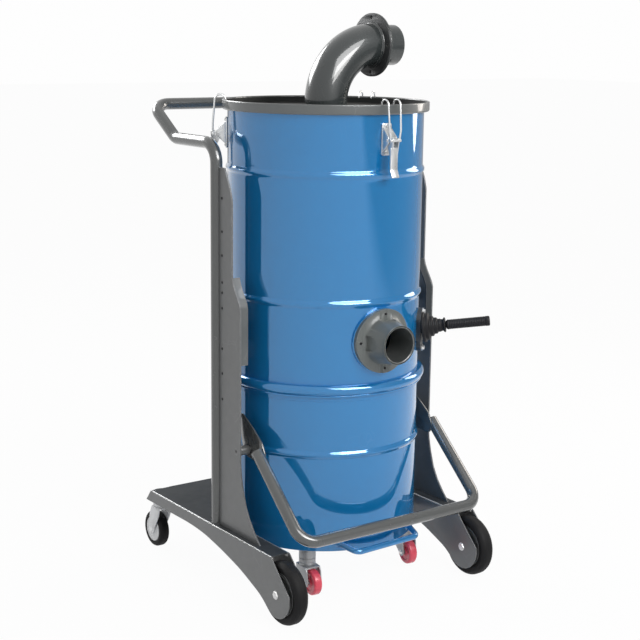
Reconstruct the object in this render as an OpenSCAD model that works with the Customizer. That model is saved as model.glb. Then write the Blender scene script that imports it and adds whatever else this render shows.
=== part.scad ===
// Mobile dust pre-separator: cyclone chamber with lid and outlet bend,
// detachable container on casters, and a wheeled trolley with a lifting lever.
// Millimetres, +Z up, front (inlet side) towards -Y, floor at Z = 0.

/* [Chamber and container] */
// Outside radius of the chamber and the container
body_r = 230; // [228:1:232]
// Sheet thickness of the chamber and the container
body_t = 2.5; // [2:0.5:3]
// Height of the joint between container and chamber
joint_z = 496; // [492:1:500]
// Top of the chamber wall, under the lid
chamber_top = 1127; // [1123:1:1131]
// Underside of the container
base_z = 121; // [119:1:123]
// Stand-out of the rolled beads
bead_out = 4.2; // [3:0.2:5]
// Half height of the rolled beads
bead_half = 7; // [6:1:8]
// Stand-out of the clamping ring at the chamber foot
ring_out = 15; // [13:1:16]
// Height of the clamping ring
ring_h = 22; // [20:1:24]
// Drop of the container when the lever is raised
drop = 14; // [12:1:14]

/* [Lid and outlet] */
// Outside radius of the lid rim
lid_r = 242.5; // [240:0.5:244]
// Height of the lid rim
lid_h = 22.5; // [20:0.5:24]
// Outside radius of the outlet tube
tube_r = 50; // [48:1:51]
// Wall of the outlet tube
tube_t = 2.5; // [2:0.5:3]
// Bend radius of the outlet
bend_r = 133; // [128:1:138]
// Radius of the outlet flange
flange_r = 74; // [72:1:76]
// Thickness of one outlet flange
flange_t = 4; // [3:1:5]
// Outside radius of the hose spigot
spigot_r = 47.5; // [46:0.5:48]
// Length of the hose spigot
spigot_len = 57; // [50:1:62]

/* [Inlet] */
// Height of the inlet axis
inlet_z = 617; // [612:1:622]
// Radius of the inlet saddle flange
saddle_r = 74; // [72:1:76]
// Outside radius of the inlet mouth
mouth_r = 44; // [42:1:45]
// Distance of the inlet mouth from the chamber axis
mouth_y = 297; // [290:1:300]

/* [Trolley] */
// Distance of the leg centres from the middle
leg_x = 273; // [270:1:276]
// Width of a leg channel
leg_w = 52; // [50:1:54]
// Height of the leg top
leg_z = 156; // [153:1:158]
// Sheet thickness of the trolley
leg_t = 3; // [2.5:0.5:3.5]
// Distance of the front axle ahead of the chamber axis
axle_y = 249; // [244:1:254]
// Radius of the front wheels
wheel_r = 73; // [71:1:75]
// Distance of the leg end behind the chamber axis
leg_rear = 350; // [345:1:355]
// Radius of the rear caster wheels
rear_r = 46; // [44:1:48]
// Distance of the rear caster stem behind the chamber axis
stem_y = 318; // [314:1:322]
// Trail of the rear casters
rear_trail = 26; // [24:1:28]

/* [Uprights and handle] */
// Distance of the uprights from the middle
post_x = 280; // [279:1:282]
// Outside radius of the frame tube
post_r = 14; // [13:0.5:14.5]
// Distance of the post tubes behind the chamber axis
post_y = 31; // [29:1:33]
// Thickness of the upright plates
plate_t = 4; // [3:1:5]
// Height of the level part of the push handle
arm_z = 1055; // [1050:1:1060]
// Height of the push bar
bar_z = 1129; // [1124:1:1134]
// Where the arms of the push handle turn up, behind the chamber axis
arm_y = 203; // [198:1:208]
// Slope of the upper arms of the push handle
arm_pitch = 33; // [31:1:35]

/* [Lifting lever] */
// Distance of the lever arms from the middle
lift_x = 258; // [257:1:259]
// Height of the lever pivot
pivot_z = 354; // [350:1:358]
// Distance of the lever pivot ahead of the chamber axis
pivot_y = 56; // [54:1:60]
// Height of the lever cross bar
cross_z = 197; // [194:1:200]
// Distance of the lever cross bar ahead of the chamber axis
cross_y = 294; // [290:1:298]

/* [Container casters and fittings] */
// Radius on which the container casters sit
cast_ring = 205; // [202:1:207]
// Radius of the container caster wheels
cast_r = 30.5; // [29:0.5:31]
// Trail of the container casters
cast_trail = 27; // [25:1:29]
// Height of the flap lever pivot
flap_z = 618; // [614:1:622]
// Tilt of the flap lever
flap_tilt = 8; // [6:1:10]
// Reach of the flap lever from the chamber axis
flap_reach = 398; // [390:1:402]
// Thickness of the flap lever's plate
flap_t = 9; // [8:0.5:10]
// Radius of the hole behind the flap lever
flap_bore = 16; // [15:0.5:17]
// Stand-out of the latch pivots from the chamber wall
latch_out = 20; // [19:0.5:21]
// Depth of the latch pivots under the lid
latch_drop = 55; // [53:1:57]
// Distance of the bail wire outside the latch pivot
bail_out = 14; // [13:0.5:15]
// Stand-out of the container's pull handle from its wall
handle_out = 24; // [20:1:28]

/* [Hidden] */
$fn = 96;

fit = 0.1;
bend_fat = 0.1;
pin_r = 8;
trunnion_r = 3.5;
seat = 0.3;
hook_gap = 1.2;
lid_rim = 5;
mount_h = 34;
mount_wall = 4;
mount_z = [joint_z + 64, joint_z + 154];
bead_up = 87;
handle_y = body_r + handle_out;
front = -(axle_y + wheel_r);
rear = stem_y + rear_trail + rear_r;
mid_y = (front + rear) / 2;
ring_z = joint_z + seat;
bead_hi = chamber_top - latch_drop - 78;
bead_mid = inlet_z + bead_up;
bead_low = joint_z - 143;
inner_r = body_r - body_t;
lid_floor = 4;
bend_z = chamber_top + lid_floor + 12;
duct_z = bend_z + bend_r;
leg_in = leg_x - leg_w / 2;
leg_out = leg_x + leg_w / 2;
tyre_w = 35;
rear_w = 20;
cast_pos = [-136, -44, 56, 124];
cast_yaw = [20, -6, -8, -15];
latch_turn = [0, 120, -120];
latch_pivot_r = body_r + latch_out;
latch_pivot_z = chamber_top - latch_drop;
bail_r = latch_pivot_r + bail_out;
bail_z = latch_pivot_z;
bail_w = 16.5;
wire_r = 2;
hook_r = 12.5;
hook_pos = lid_r - lid_rim + hook_r - wire_r - hook_gap;
hook_z = chamber_top + lid_h - 1.5;
flap_turn = 45;
handle_turn = 3;

// every node is drawn with the chamber axis at Y = 0 and then moved so
// that the middle of the outline stands over the origin
module place() { translate([0, -mid_y, 0]) children(); }

// a rolled bead: the outside of a ring of round section
module bead(z, out = bead_out, half = bead_half) {
    r = (half * half + out * out) / (2 * out);
    rotate_extrude() intersection() {
        translate([body_r + out - r, z]) circle(r);
        translate([body_r - 1, z - half]) square([out + 2, 2 * half]);
    }
}

// straight tube along X
module bar_x(r, x0, x1) { translate([x0, 0, 0]) rotate([0, 90, 0]) cylinder(r = r, h = x1 - x0); }

module chamber() {
    color([0.27, 0.53, 0.77]) difference() {
        union() {
            translate([0, 0, ring_z]) cylinder(r = body_r, h = chamber_top - ring_z);
            bead(bead_hi);
            bead(bead_mid);
            translate([0, 0, ring_z]) rotate_extrude() ring_profile();
        }
        translate([0, 0, ring_z - 1]) cylinder(r = inner_r, h = chamber_top - ring_z + 2);
        translate([0, 0, inlet_z]) rotate([90, 0, 0]) cylinder(r = mouth_r - 3, h = body_r + 20);
        flap_place() cylinder(r = flap_bore, h = body_r + 20);
    }
}

// rounded clamping ring at the foot of the chamber
module ring_profile() {
    intersection() {
        translate([body_r - 1, 0]) square([ring_out + 1, ring_h]);
        translate([body_r + ring_out - ring_h * 0.62, ring_h / 2]) circle(ring_h * 0.62);
    }
}

// funnel inside the foot of the chamber
module hopper() {
    z0 = joint_z + 8;
    color([0.27, 0.53, 0.77]) rotate_extrude() polygon([
        [inner_r - seat, z0 + 70], [inner_r - seat, z0 + 66], [95, z0], [92, z0],
        [92, z0 + 3], [inner_r - 3 - seat, z0 + 70]]);
}

module lid() {
    color([0.36, 0.37, 0.38]) rotate_extrude() difference() {
        union() {
            translate([0, chamber_top]) square([lid_r - 2, lid_floor]);
            translate([lid_r - lid_rim, chamber_top]) square([lid_rim, lid_h]);
        }
        translate([0, chamber_top - 1]) square([tube_r - tube_t, lid_floor + 2]);
    }
}

module elbow() {
    color([0.40, 0.41, 0.42]) {
        difference() {
            union() {
                translate([0, 0, chamber_top + lid_floor]) cylinder(r = tube_r, h = bend_z - chamber_top - lid_floor);
                translate([bend_r, 0, bend_z]) rotate([90, 0, 0]) rotate_extrude(angle = 90, start = 90)
                    translate([bend_r, 0]) circle(tube_r);
                translate([bend_r - flange_t, 0, duct_z]) bar_x(flange_r, 0, flange_t);
            }
            translate([0, 0, chamber_top]) cylinder(r = tube_r - tube_t, h = bend_z - chamber_top);
            translate([bend_r, 0, bend_z]) rotate([90, 0, 0]) rotate_extrude(angle = 90, start = 90)
                translate([bend_r, 0]) circle(tube_r - tube_t);
            flange_holes(bend_r - flange_t - 1);
        }
    }
}

module flange_holes(x) {
    for (a = [0:90:270])
        translate([x, 0, duct_z]) rotate([a, 0, 0]) translate([0, 0, flange_r - 10]) bar_x(4.5, 0, 2 * flange_t + 2);
}

module spigot() {
    color([0.40, 0.41, 0.42]) difference() {
        union() {
            translate([bend_r, 0, duct_z]) bar_x(flange_r, 0, flange_t);
            translate([bend_r, 0, duct_z]) bar_x(spigot_r, 0, flange_t + spigot_len);
        }
        translate([bend_r, 0, duct_z]) bar_x(spigot_r - tube_t, -1, flange_t + spigot_len + 1);
        flange_holes(bend_r - flange_t - 1);
    }
}

// a disc of the wall of a cylinder, cut out by a round punch along -Y
module saddle(r0, r1, punch) {
    intersection() {
        translate([0, 0, inlet_z - punch - 5]) difference() {
            cylinder(r = r1, h = 2 * punch + 10);
            translate([0, 0, -1]) cylinder(r = r0, h = 2 * punch + 12);
        }
        translate([0, 0, inlet_z]) rotate([90, 0, 0]) cylinder(r = punch, h = r1 + 10);
    }
}

module inlet_pad() {
    color([0.27, 0.53, 0.77]) difference() {
        saddle(body_r, body_r + 6, saddle_r + 2);
        translate([0, 0, inlet_z]) rotate([90, 0, 0]) cylinder(r = mouth_r - 3, h = body_r + 20);
    }
}

module inlet_socket() {
    r0 = body_r + 6;
    r1 = body_r + 15;
    color([0.42, 0.43, 0.44]) difference() {
        union() {
            saddle(r0, r1, saddle_r);
            difference() {
                translate([0, -r0 + 16, inlet_z]) rotate([90, 0, 0])
                    cylinder(r1 = 61, r2 = mouth_r, h = mouth_y - r0 + 16 - 6);
                translate([0, 0, inlet_z - 80]) cylinder(r = r0, h = 160);
                for (a = [0:90:270])
                    translate([0, 0, inlet_z]) rotate([0, a, 0]) translate([-17, -r1 - 40, 48]) cube([34, 60, 40]);
            }
            translate([0, -mouth_y + 8, inlet_z]) rotate([90, 0, 0]) cylinder(r = mouth_r, h = 8);
        }
        translate([0, -mouth_y - 1, inlet_z]) rotate([-90, 0, 0]) cylinder(r = mouth_r - 3, h = mouth_y);
        for (a = [0:90:270])
            translate([0, -body_r + 30, inlet_z]) rotate([0, a, 0]) translate([0, 0, saddle_r - 11])
                rotate([90, 0, 0]) cylinder(r = 3.5, h = 70);
    }
}

module container() {
    color([0.27, 0.53, 0.77]) difference() {
        union() {
            translate([0, 0, base_z + 2]) cylinder(r = body_r, h = joint_z - base_z - 2);
            bead(bead_low);
            translate([0, 0, joint_z - 4]) cylinder(r = body_r + 10, h = 4);
        }
        translate([0, 0, base_z + 1]) cylinder(r = inner_r, h = joint_z - base_z);
    }
}

module container_base() {
    color([0.25, 0.50, 0.74]) union() {
        translate([0, 0, base_z]) cylinder(r1 = body_r - 2, r2 = body_r, h = 2);
        translate([0, 0, base_z + 2]) cylinder(r = inner_r - seat, h = 4);
        for (a = cast_pos)
            rotate([0, 0, a]) translate([0, -cast_ring, base_z - 23]) difference() {
                cylinder(r = 20, h = 24);
                translate([0, 0, -1]) cylinder(r = 6 + fit, h = 20);
            }
    }
}

// bent rod handle: the legs splay towards the wall and rise to it
module container_handle() {
    w = 92;
    r = 7;
    bend = 18;
    splay = 16;
    rise = 11;
    turn = 90 - splay;
    back = bend * tan(turn / 2);
    color([0.27, 0.53, 0.77]) difference() {
        rotate([0, 0, handle_turn]) translate([0, -handle_y, base_z + 9]) rotate([rise, 0, 0]) {
            for (s = [0, 1]) mirror([s, 0, 0]) {
                translate([w, 0, 0]) rotate([0, 0, -splay]) translate([0, back - 1, 0]) rotate([-90, 0, 0])
                    cylinder(r = r, h = handle_out + 36);
                translate([w - back, bend, 0]) rotate([0, 0, -90]) rotate_extrude(angle = turn)
                    translate([bend, 0]) circle(r + bend_fat);
            }
            bar_x(r, -w + back - 1, w - back + 1);
        }
        translate([0, 0, base_z]) cylinder(r = body_r, h = 80, $fn = 360);
    }
}

// swivel fork of a container caster, stem at the origin, top at the collar
module stem(k) {
    a = cast_pos[k];
    z0 = base_z - 23;
    color([0.75, 0.76, 0.77]) rotate([0, 0, a]) translate([0, -cast_ring, 0]) rotate([0, 0, cast_yaw[k] - a]) {
        translate([0, 0, z0 - seat]) cylinder(r = 6, h = 19);
        translate([0, 0, z0 - 17]) cylinder(r = 20, h = 17 - seat);
        for (s = [-1, 1]) translate([s * 18 - 1.5, 0, 0]) rotate([90, 0, 90]) linear_extrude(3)
            union() {
                polygon([[20, z0 - 17], [-cast_trail, z0 - 17], [-cast_trail - 5, z0 - 25],
                         [-cast_trail - 9, drop + cast_r], [-cast_trail + 8, drop + cast_r - 4], [18, z0 - 30]]);
                translate([-cast_trail, drop + cast_r]) circle(9);
            }
        translate([-19.5, -cast_trail, z0 - 20]) cube([39, cast_trail + 20, 3]);
        translate([-18, -cast_trail, drop + cast_r]) bar_x(4, 0, 36);
    }
}

module roller(k) {
    a = cast_pos[k];
    color([0.80, 0.13, 0.16]) rotate([0, 0, a]) translate([0, -cast_ring, 0]) rotate([0, 0, cast_yaw[k] - a])
        translate([0, -cast_trail, drop + cast_r]) difference() {
            rotate([0, 90, 0]) rotate_extrude() polygon([
                [0, -11], [cast_r - 3, -11], [cast_r, -8], [cast_r, 8], [cast_r - 3, 11], [0, 11]]);
            bar_x(4 + fit, -20, 20);
        }
}

// side view of a leg cheek, Y to the left is the front
module cheek_profile() {
    zr = leg_z - 29;
    difference() {
        union() {
            polygon([[leg_rear - 22, leg_z], [leg_rear, zr], [130, zr + 1], [60, zr - 4], [-20, zr - 20],
                     [-102, zr - 41], [-188, zr - 74], [-axle_y + 24, wheel_r - 47],
                     [-axle_y - 52, wheel_r + 11], [-axle_y + 22, leg_z]]);
            translate([-axle_y, wheel_r]) circle(53);
        }
        translate([-axle_y, wheel_r]) circle(6 + fit);
    }
}

module leg(s) {
    color([0.62, 0.63, 0.64]) {
        for (x = [leg_in, leg_out - leg_t])
            translate([s > 0 ? x : -x - leg_t, 0, 0]) rotate([90, 0, 90]) linear_extrude(leg_t) cheek_profile();
        translate([s * leg_x - leg_w / 2, -axle_y + 22, leg_z - leg_t]) cube([leg_w, leg_rear - 22 + axle_y - 22, leg_t]);
        translate([s * leg_x, stem_y, leg_z - 26]) cylinder(r = 22, h = 26 - leg_t);
    }
}

module axle(s) {
    color([0.80, 0.81, 0.82]) translate([s * leg_x, -axle_y, wheel_r]) {
        bar_x(6, -leg_w / 2 - 1, leg_w / 2 + 1);
        for (t = [-1, 1]) translate([t * (leg_w / 2 + 1.5) - 1.5, 0, 0]) bar_x(8, 0, 3);
    }
}

module platform() {
    color([0.52, 0.54, 0.54]) difference() {
        union() {
            translate([-leg_in, 20, leg_z - leg_t]) cube([2 * leg_in, leg_rear - 22 - 20, leg_t]);
            translate([-leg_in, leg_rear - 25, leg_z - 29]) cube([2 * leg_in, 3, 29]);
        }
        translate([0, 0, leg_z - 40]) cylinder(r = body_r + 13, h = 60);
    }
}

// side view of an upright: bulge beside the joint, narrow top, flared foot
module upright(s) {
    y0 = post_y - post_r - 0.1;
    top = arm_z - 52;
    low = mount_z[0];
    high = mount_z[1] + mount_h;
    nose = pivot_y + 16;
    edge = [[-nose + 35, high + 72], [-nose + 30, high + 58], [-nose + 22, high + 44], [-nose + 12, high + 30],
            [-nose + 4, high + 18], [-nose, high + 6]];
    foot = [[-nose, pivot_z - 24], [-nose - 3, pivot_z - 52], [-nose - 10, pivot_z - 83], [-nose - 23, leg_z + 76],
            [-nose - 40, leg_z + 47], [-nose - 62, leg_z + 21], [-nose - 83, leg_z]];
    color([0.63, 0.64, 0.65]) {
        translate([s * post_x - plate_t / 2, 0, 0]) rotate([90, 0, 90]) linear_extrude(plate_t) difference() {
            polygon(concat([[y0, leg_z], [y0, top], [-6, top], [-30, top - 48], [-nose + 35, top - 73]], edge, foot));
            translate([-pivot_y, pivot_z]) circle(pin_r + fit);
        }
        translate([s > 0 ? post_x - plate_t / 2 - 18 : -post_x + plate_t / 2 - 1, 0, 0]) rotate([90, 0, 90])
            linear_extrude(19) polygon(concat(edge, [[-nose, low], [-nose + 3, low], [-nose + 3, high + 5],
                [-nose + 6.6, high + 16], [-nose + 14.6, high + 28.4], [-nose + 24.5, high + 42.5],
                [-nose + 32.6, high + 56.6], [-nose + 37.8, high + 71]]));
    }
}

// angle brackets between the chamber and the upright plates
module chamber_mounts() {
    color([0.63, 0.64, 0.65]) difference() {
        for (z = mount_z) translate([-post_x + plate_t / 2, -20, z]) cube([2 * post_x - plate_t, mount_h, mount_h]);
        translate([0, 0, joint_z]) cylinder(r = body_r, h = mount_z[1] + 2 * mount_h - joint_z, $fn = 360);
        for (z = mount_z) translate([-post_x, -20 + mount_wall, z + mount_wall])
            cube([2 * post_x, mount_h - 2 * mount_wall, mount_h - 2 * mount_wall]);
    }
}

module push_handle() {
    rb = 45;
    lift = bar_z - arm_z - rb * (1 - cos(arm_pitch));
    run = lift / sin(arm_pitch);
    color([0.62, 0.63, 0.64]) {
        for (s = [-1, 1]) translate([s * post_x, 0, 0]) {
            translate([0, post_y, leg_z]) cylinder(r = post_r, h = arm_z - rb - leg_z + 1);
            translate([0, post_y + rb, arm_z - rb]) rotate([90, 0, -90]) rotate_extrude(angle = 90)
                translate([rb, 0]) circle(post_r + bend_fat);
            translate([0, post_y + rb - 1, arm_z]) rotate([-90, 0, 0]) cylinder(r = post_r, h = arm_y - post_y - rb + 2);
            translate([0, arm_y, arm_z + rb]) rotate([90, 0, -90])
                rotate_extrude(angle = arm_pitch, start = -90 - arm_pitch) translate([rb, 0]) circle(post_r + bend_fat);
        }
        translate([0, arm_y, arm_z + rb]) rotate([arm_pitch, 0, 0]) translate([0, 0, -rb]) {
            for (s = [-1, 1]) {
                translate([s * post_x, -1, 0]) rotate([-90, 0, 0]) cylinder(r = post_r, h = run - rb + 2);
                translate([s * (post_x - rb), run - rb, 0]) rotate([0, 0, s > 0 ? 0 : 90])
                    rotate_extrude(angle = 90) translate([rb, 0]) circle(post_r + bend_fat);
            }
            translate([0, run, 0]) bar_x(post_r, -post_x + rb - 1, post_x - rb + 1);
        }
    }
}

module tyre(s) {
    h = tyre_w / 2;
    color([0.16, 0.16, 0.17]) translate([s * leg_x, -axle_y, wheel_r]) difference() {
        rotate([0, 90, 0]) rotate_extrude() polygon([
            [0, -h], [wheel_r - 8, -h], [wheel_r - 2.5, -h + 5], [wheel_r, -h + 11], [wheel_r, h - 11],
            [wheel_r - 2.5, h - 5], [wheel_r - 8, h], [0, h]]);
        bar_x(6 + fit, -30, 30);
    }
}

module rear_fork(s) {
    color([0.84, 0.85, 0.86]) translate([s * leg_x, stem_y, 0]) {
        translate([0, 0, leg_z - 38]) cylinder(r = 22, h = 12 - seat);
        translate([0, 0, leg_z - 46]) cylinder(r = 25, h = 8);
        for (t = [-1, 1]) translate([t * 16.5 - 1.5, 0, 0]) rotate([90, 0, 90]) linear_extrude(3) union() {
            translate([rear_trail, rear_r]) circle(13);
            polygon([[-18, leg_z - 45], [-13, leg_z - 66], [rear_trail - 13, rear_r], [rear_trail + 13, rear_r],
                     [rear_trail + 5, leg_z - 66], [20, leg_z - 45]]);
        }
        translate([0, rear_trail, rear_r]) bar_x(5, -18, 18);
    }
}

module rear_wheel(s) {
    h = rear_w / 2;
    color([0.17, 0.17, 0.18]) translate([s * leg_x, stem_y + rear_trail, rear_r]) difference() {
        rotate([0, 90, 0]) rotate_extrude() polygon([
            [0, -h], [rear_r - 5, -h], [rear_r, -h + 5], [rear_r, h - 5], [rear_r - 5, h], [0, h]]);
        bar_x(5 + fit, -20, 20);
    }
}

// bent lever: each arm leaves its side plate at the knee and runs down to the cross bar
module lift_lever() {
    rb = 42;
    knee_y = pivot_y + 73;
    knee_z = pivot_z - 11;
    slope = atan2(knee_z - cross_z, cross_y - knee_y);
    run = (cross_y - knee_y) / cos(slope);
    color([0.63, 0.64, 0.65]) {
        translate([0, -knee_y, knee_z]) rotate([slope, 0, 0]) {
            for (s = [-1, 1]) {
                translate([s * lift_x, 28, 0]) rotate([90, 0, 0]) cylinder(r = post_r, h = run - rb + 29);
                translate([s * (lift_x - rb), -run + rb, 0]) rotate([0, 0, s > 0 ? -90 : 180])
                    rotate_extrude(angle = 90) translate([rb, 0]) circle(post_r + bend_fat);
            }
            translate([0, -run, 0]) bar_x(post_r, -lift_x + rb - 1, lift_x - rb + 1);
        }
        for (s = [-1, 1]) translate([s * (lift_x - post_r + 2) - 2, -pivot_y, pivot_z]) rotate([90, 0, 90])
            linear_extrude(4) difference() {
                polygon([[-69, 2], [-56, 26], [-16, 55], [30, 80], [42, 74], [26, 8], [10, -16], [-16, -20], [-62, -22]]);
                circle(pin_r + fit);
            }
    }
}

// pivot pins of the lever, each welded flush into its upright plate
module lift_pins() {
    long = post_x + plate_t / 2 - (lift_x - post_r - 2);
    color([0.62, 0.63, 0.64]) for (s = [-1, 1]) translate([0, -pivot_y, pivot_z]) {
        translate([s > 0 ? lift_x - post_r - 2 : -post_x - plate_t / 2, 0, 0]) bar_x(pin_r, 0, long);
        translate([s > 0 ? lift_x - post_r + 5 : -post_x + plate_t / 2, 0, 0])
            bar_x(pin_r + 3, 0, post_x - plate_t / 2 - lift_x + post_r - 5);
    }
}

// latch parts are drawn for the front latch and turned to each place
module latch_place(k) { rotate([0, 0, latch_turn[k]]) children(); }

module latch_bases() {
    color([0.72, 0.73, 0.75]) for (k = [0:2]) latch_place(k) {
        difference() {
            translate([-12.5, -body_r - 4, latch_pivot_z - 34]) cube([25, 4.5, 70]);
            translate([0, 0, latch_pivot_z - 42]) cylinder(r = body_r, h = 90, $fn = 360);
        }
        for (s = [-1, 1]) translate([s * 11 - 1.5, 0, 0]) rotate([90, 0, 90]) linear_extrude(3) polygon([
            [-body_r - 3, latch_pivot_z - 26], [-body_r - 3, latch_pivot_z + 28], [-latch_pivot_r - 6, latch_pivot_z + 6],
            [-latch_pivot_r - 6, latch_pivot_z - 6]]);
        translate([0, -latch_pivot_r, latch_pivot_z]) bar_x(3, -14, 14);
    }
}

module latch_lever(k) {
    color([0.72, 0.73, 0.75]) latch_place(k) difference() {
        union() {
            for (s = [-1, 1]) translate([s * 7.5 - 1.25, 0, 0]) rotate([90, 0, 90]) linear_extrude(2.5) polygon([
                [-latch_pivot_r + 6, latch_pivot_z + 5], [-latch_pivot_r + 6, latch_pivot_z - 5],
                [-latch_pivot_r - 4, latch_pivot_z - 25], [-latch_pivot_r - 8, latch_pivot_z - 42],
                [-latch_pivot_r - 13, latch_pivot_z - 42],
                [-bail_r - 5, bail_z - 4], [-bail_r - 5, bail_z + 4], [-bail_r, bail_z + 6]]);
            translate([-10, -latch_pivot_r - 12, latch_pivot_z - 68]) cube([20, 3, 50]);
            translate([-10, -latch_pivot_r - 12, latch_pivot_z - 66]) rotate([28, 0, 0]) translate([0, 0, -18])
                cube([20, 3, 18]);
        }
        translate([0, -latch_pivot_r, latch_pivot_z]) bar_x(3 + fit, -20, 20);
        translate([0, -bail_r, bail_z]) bar_x(wire_r + fit, -20, 20);
    }
}

module latch_bail(k) {
    dr = bail_r - hook_pos;
    dz = hook_z - bail_z;
    tilt = atan2(dr, dz) - asin(hook_r / norm([dr, dz]));
    leg = sqrt(dr * dr + dz * dz - hook_r * hook_r);
    color([0.80, 0.81, 0.83]) latch_place(k) {
        translate([0, -bail_r, bail_z]) bar_x(wire_r, -bail_w, bail_w);
        for (s = [-1, 1]) translate([s * bail_w, 0, 0]) {
            translate([0, -bail_r, bail_z]) sphere(wire_r + 0.2);
            translate([0, -bail_r, bail_z]) rotate([-tilt, 0, 0]) cylinder(r = wire_r, h = leg + 0.5);
            translate([0, -hook_pos, hook_z]) rotate([90, 0, 90]) rotate_extrude(angle = 180 - tilt)
                translate([hook_r, 0]) circle(wire_r + 0.05);
            translate([0, -hook_pos + hook_r, hook_z - 3]) cylinder(r = wire_r, h = 3.5);
        }
    }
}

module flap_place() { rotate([0, 0, flap_turn]) translate([0, 0, flap_z]) rotate([90, 0, 0]) children(); }

module flap_plate() {
    color([0.55, 0.56, 0.56]) difference() {
        flap_place() translate([0, -6, 0]) union() {
            for (s = [-1, 1]) translate([0, s * 22, body_r - 30]) cylinder(r = 30, h = 30 + flap_t);
            translate([-30, -22, body_r - 30]) cube([60, 44, 30 + flap_t]);
        }
        cylinder(r = body_r, h = 800, $fn = 360);
        flap_place() cylinder(r = flap_bore, h = body_r + 60);
    }
}

module flap_boot() {
    color([0.14, 0.14, 0.15]) difference() {
        flap_place() translate([0, 0, body_r + flap_t]) rotate([-flap_tilt, 0, 0]) rotate_extrude() polygon([
            [13.5, 3], [38, 2], [38, 9], [32, 12], [32, 18], [24, 20], [24, 28], [21, 30], [21, 37], [18, 39], [18, 44],
            [15, 46], [15, 52], [18, 54], [18, 57], [8 + seat, 57], [8 + seat, 53], [13.5, 53]]);
        flap_place() translate([-60, -60, body_r - 80]) cube([120, 120, 80 + flap_t]);
    }
}

// the shaft rocks on a cross pin that spans the hole of its plate
module flap_lever() {
    h = flap_reach - body_r - flap_t;
    pin = sqrt(pow(flap_bore - seat, 2) - pow(trunnion_r, 2));
    color([0.12, 0.12, 0.13]) flap_place() {
        translate([-pin, 0, body_r + flap_t / 2]) rotate([0, 90, 0]) cylinder(r = trunnion_r, h = 2 * pin);
        translate([0, 0, body_r + flap_t]) rotate([-flap_tilt, 0, 0]) {
            translate([0, 0, -13]) cylinder(r = 8, h = 23 + h / 2);
            translate([0, 0, 60]) cylinder(r = 12, h = h - 60);
        }
    }
}

place() chamber();
place() hopper();
place() lid();
place() elbow();
place() spigot();
place() inlet_pad();
place() inlet_socket();
place() container();
place() container_base();
place() container_handle();
place() stem(0);  // stem_1
place() stem(1);  // stem_2
place() stem(2);  // stem_3
place() stem(3);  // stem_4
place() roller(0);  // roller_1
place() roller(1);  // roller_2
place() roller(2);  // roller_3
place() roller(3);  // roller_4
place() leg(-1);  // leg_left
place() leg(1);  // leg_right
place() axle(-1);  // axle_left
place() axle(1);  // axle_right
place() platform();
place() upright(-1);  // upright_left
place() upright(1);  // upright_right
place() push_handle();
place() chamber_mounts();
place() tyre(-1);  // tyre_left
place() tyre(1);  // tyre_right
place() rear_fork(-1);  // rear_fork_left
place() rear_fork(1);  // rear_fork_right
place() rear_wheel(-1);  // rear_wheel_left
place() rear_wheel(1);  // rear_wheel_right
place() lift_lever();
place() lift_pins();
place() latch_bases();
place() latch_lever(0);  // latch_lever_1
place() latch_lever(1);  // latch_lever_2
place() latch_lever(2);  // latch_lever_3
place() latch_bail(0);  // latch_bail_1
place() latch_bail(1);  // latch_bail_2
place() latch_bail(2);  // latch_bail_3
place() flap_plate();
place() flap_boot();
place() flap_lever();
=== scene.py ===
"""Looks of a mobile dust pre-separator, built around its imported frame.

Lengths are metres. Pieces are drawn with the chamber axis at Y = 0 and are
moved into the frame's place by Workshop.shift when their mesh is finished.
"""
import logging
import math
from dataclasses import dataclass
from enum import Enum
from typing import Callable, Iterable, Optional, Sequence

import bmesh
import bpy
from mathutils import Matrix, Vector


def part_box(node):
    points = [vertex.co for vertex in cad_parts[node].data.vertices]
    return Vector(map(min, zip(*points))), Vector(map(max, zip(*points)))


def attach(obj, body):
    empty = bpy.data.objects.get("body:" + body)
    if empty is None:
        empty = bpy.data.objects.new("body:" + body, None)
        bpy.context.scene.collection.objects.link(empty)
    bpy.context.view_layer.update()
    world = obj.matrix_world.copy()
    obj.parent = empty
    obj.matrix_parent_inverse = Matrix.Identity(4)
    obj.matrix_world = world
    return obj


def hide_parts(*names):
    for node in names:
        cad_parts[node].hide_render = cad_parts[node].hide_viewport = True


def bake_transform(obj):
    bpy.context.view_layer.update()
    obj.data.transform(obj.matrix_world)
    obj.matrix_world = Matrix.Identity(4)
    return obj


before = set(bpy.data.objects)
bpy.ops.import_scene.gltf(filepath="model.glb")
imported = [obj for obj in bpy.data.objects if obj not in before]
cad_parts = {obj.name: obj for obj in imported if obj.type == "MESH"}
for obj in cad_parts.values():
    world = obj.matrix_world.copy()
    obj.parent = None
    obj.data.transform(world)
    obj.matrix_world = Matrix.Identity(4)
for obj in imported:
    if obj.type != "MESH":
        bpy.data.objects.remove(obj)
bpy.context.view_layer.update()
LOG = logging.getLogger("pre_separator")

Pair = tuple[float, float]
Triple = tuple[float, float, float]
Colour = tuple[float, float, float]
Shape = bmesh.types.BMesh
Socket = bpy.types.NodeSocket

FREE = "free"
SIDES = ((-1, "left"), (1, "right"))
TO_FRONT = Matrix.Rotation(math.pi / 2, 4, "X")
TO_REAR = Matrix.Rotation(-math.pi / 2, 4, "X")
DUST: Colour = (0.42, 0.40, 0.37)
WHITE = (1, 1, 1, 1)

SHADER, GEOMETRY = "ShaderNodeTree", "GeometryNodeTree"
FLOAT, COLOUR = "NodeSocketFloat", "NodeSocketColor"
MESH, MATERIAL = "NodeSocketGeometry", "NodeSocketMaterial"
SOCKETS = {float: FLOAT, int: "NodeSocketInt", tuple: COLOUR}


class Axis(Enum):
    """The row axis that a turned piece or a plate's thickness lies along."""

    X = Matrix(((0, 0, 1), (1, 0, 0), (0, 1, 0))).to_4x4().freeze()
    Z = Matrix.Identity(4).freeze()


class Layout(Enum):
    """How a repeated small piece is spread."""

    ROW = "row"
    POINTS = "points"


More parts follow.
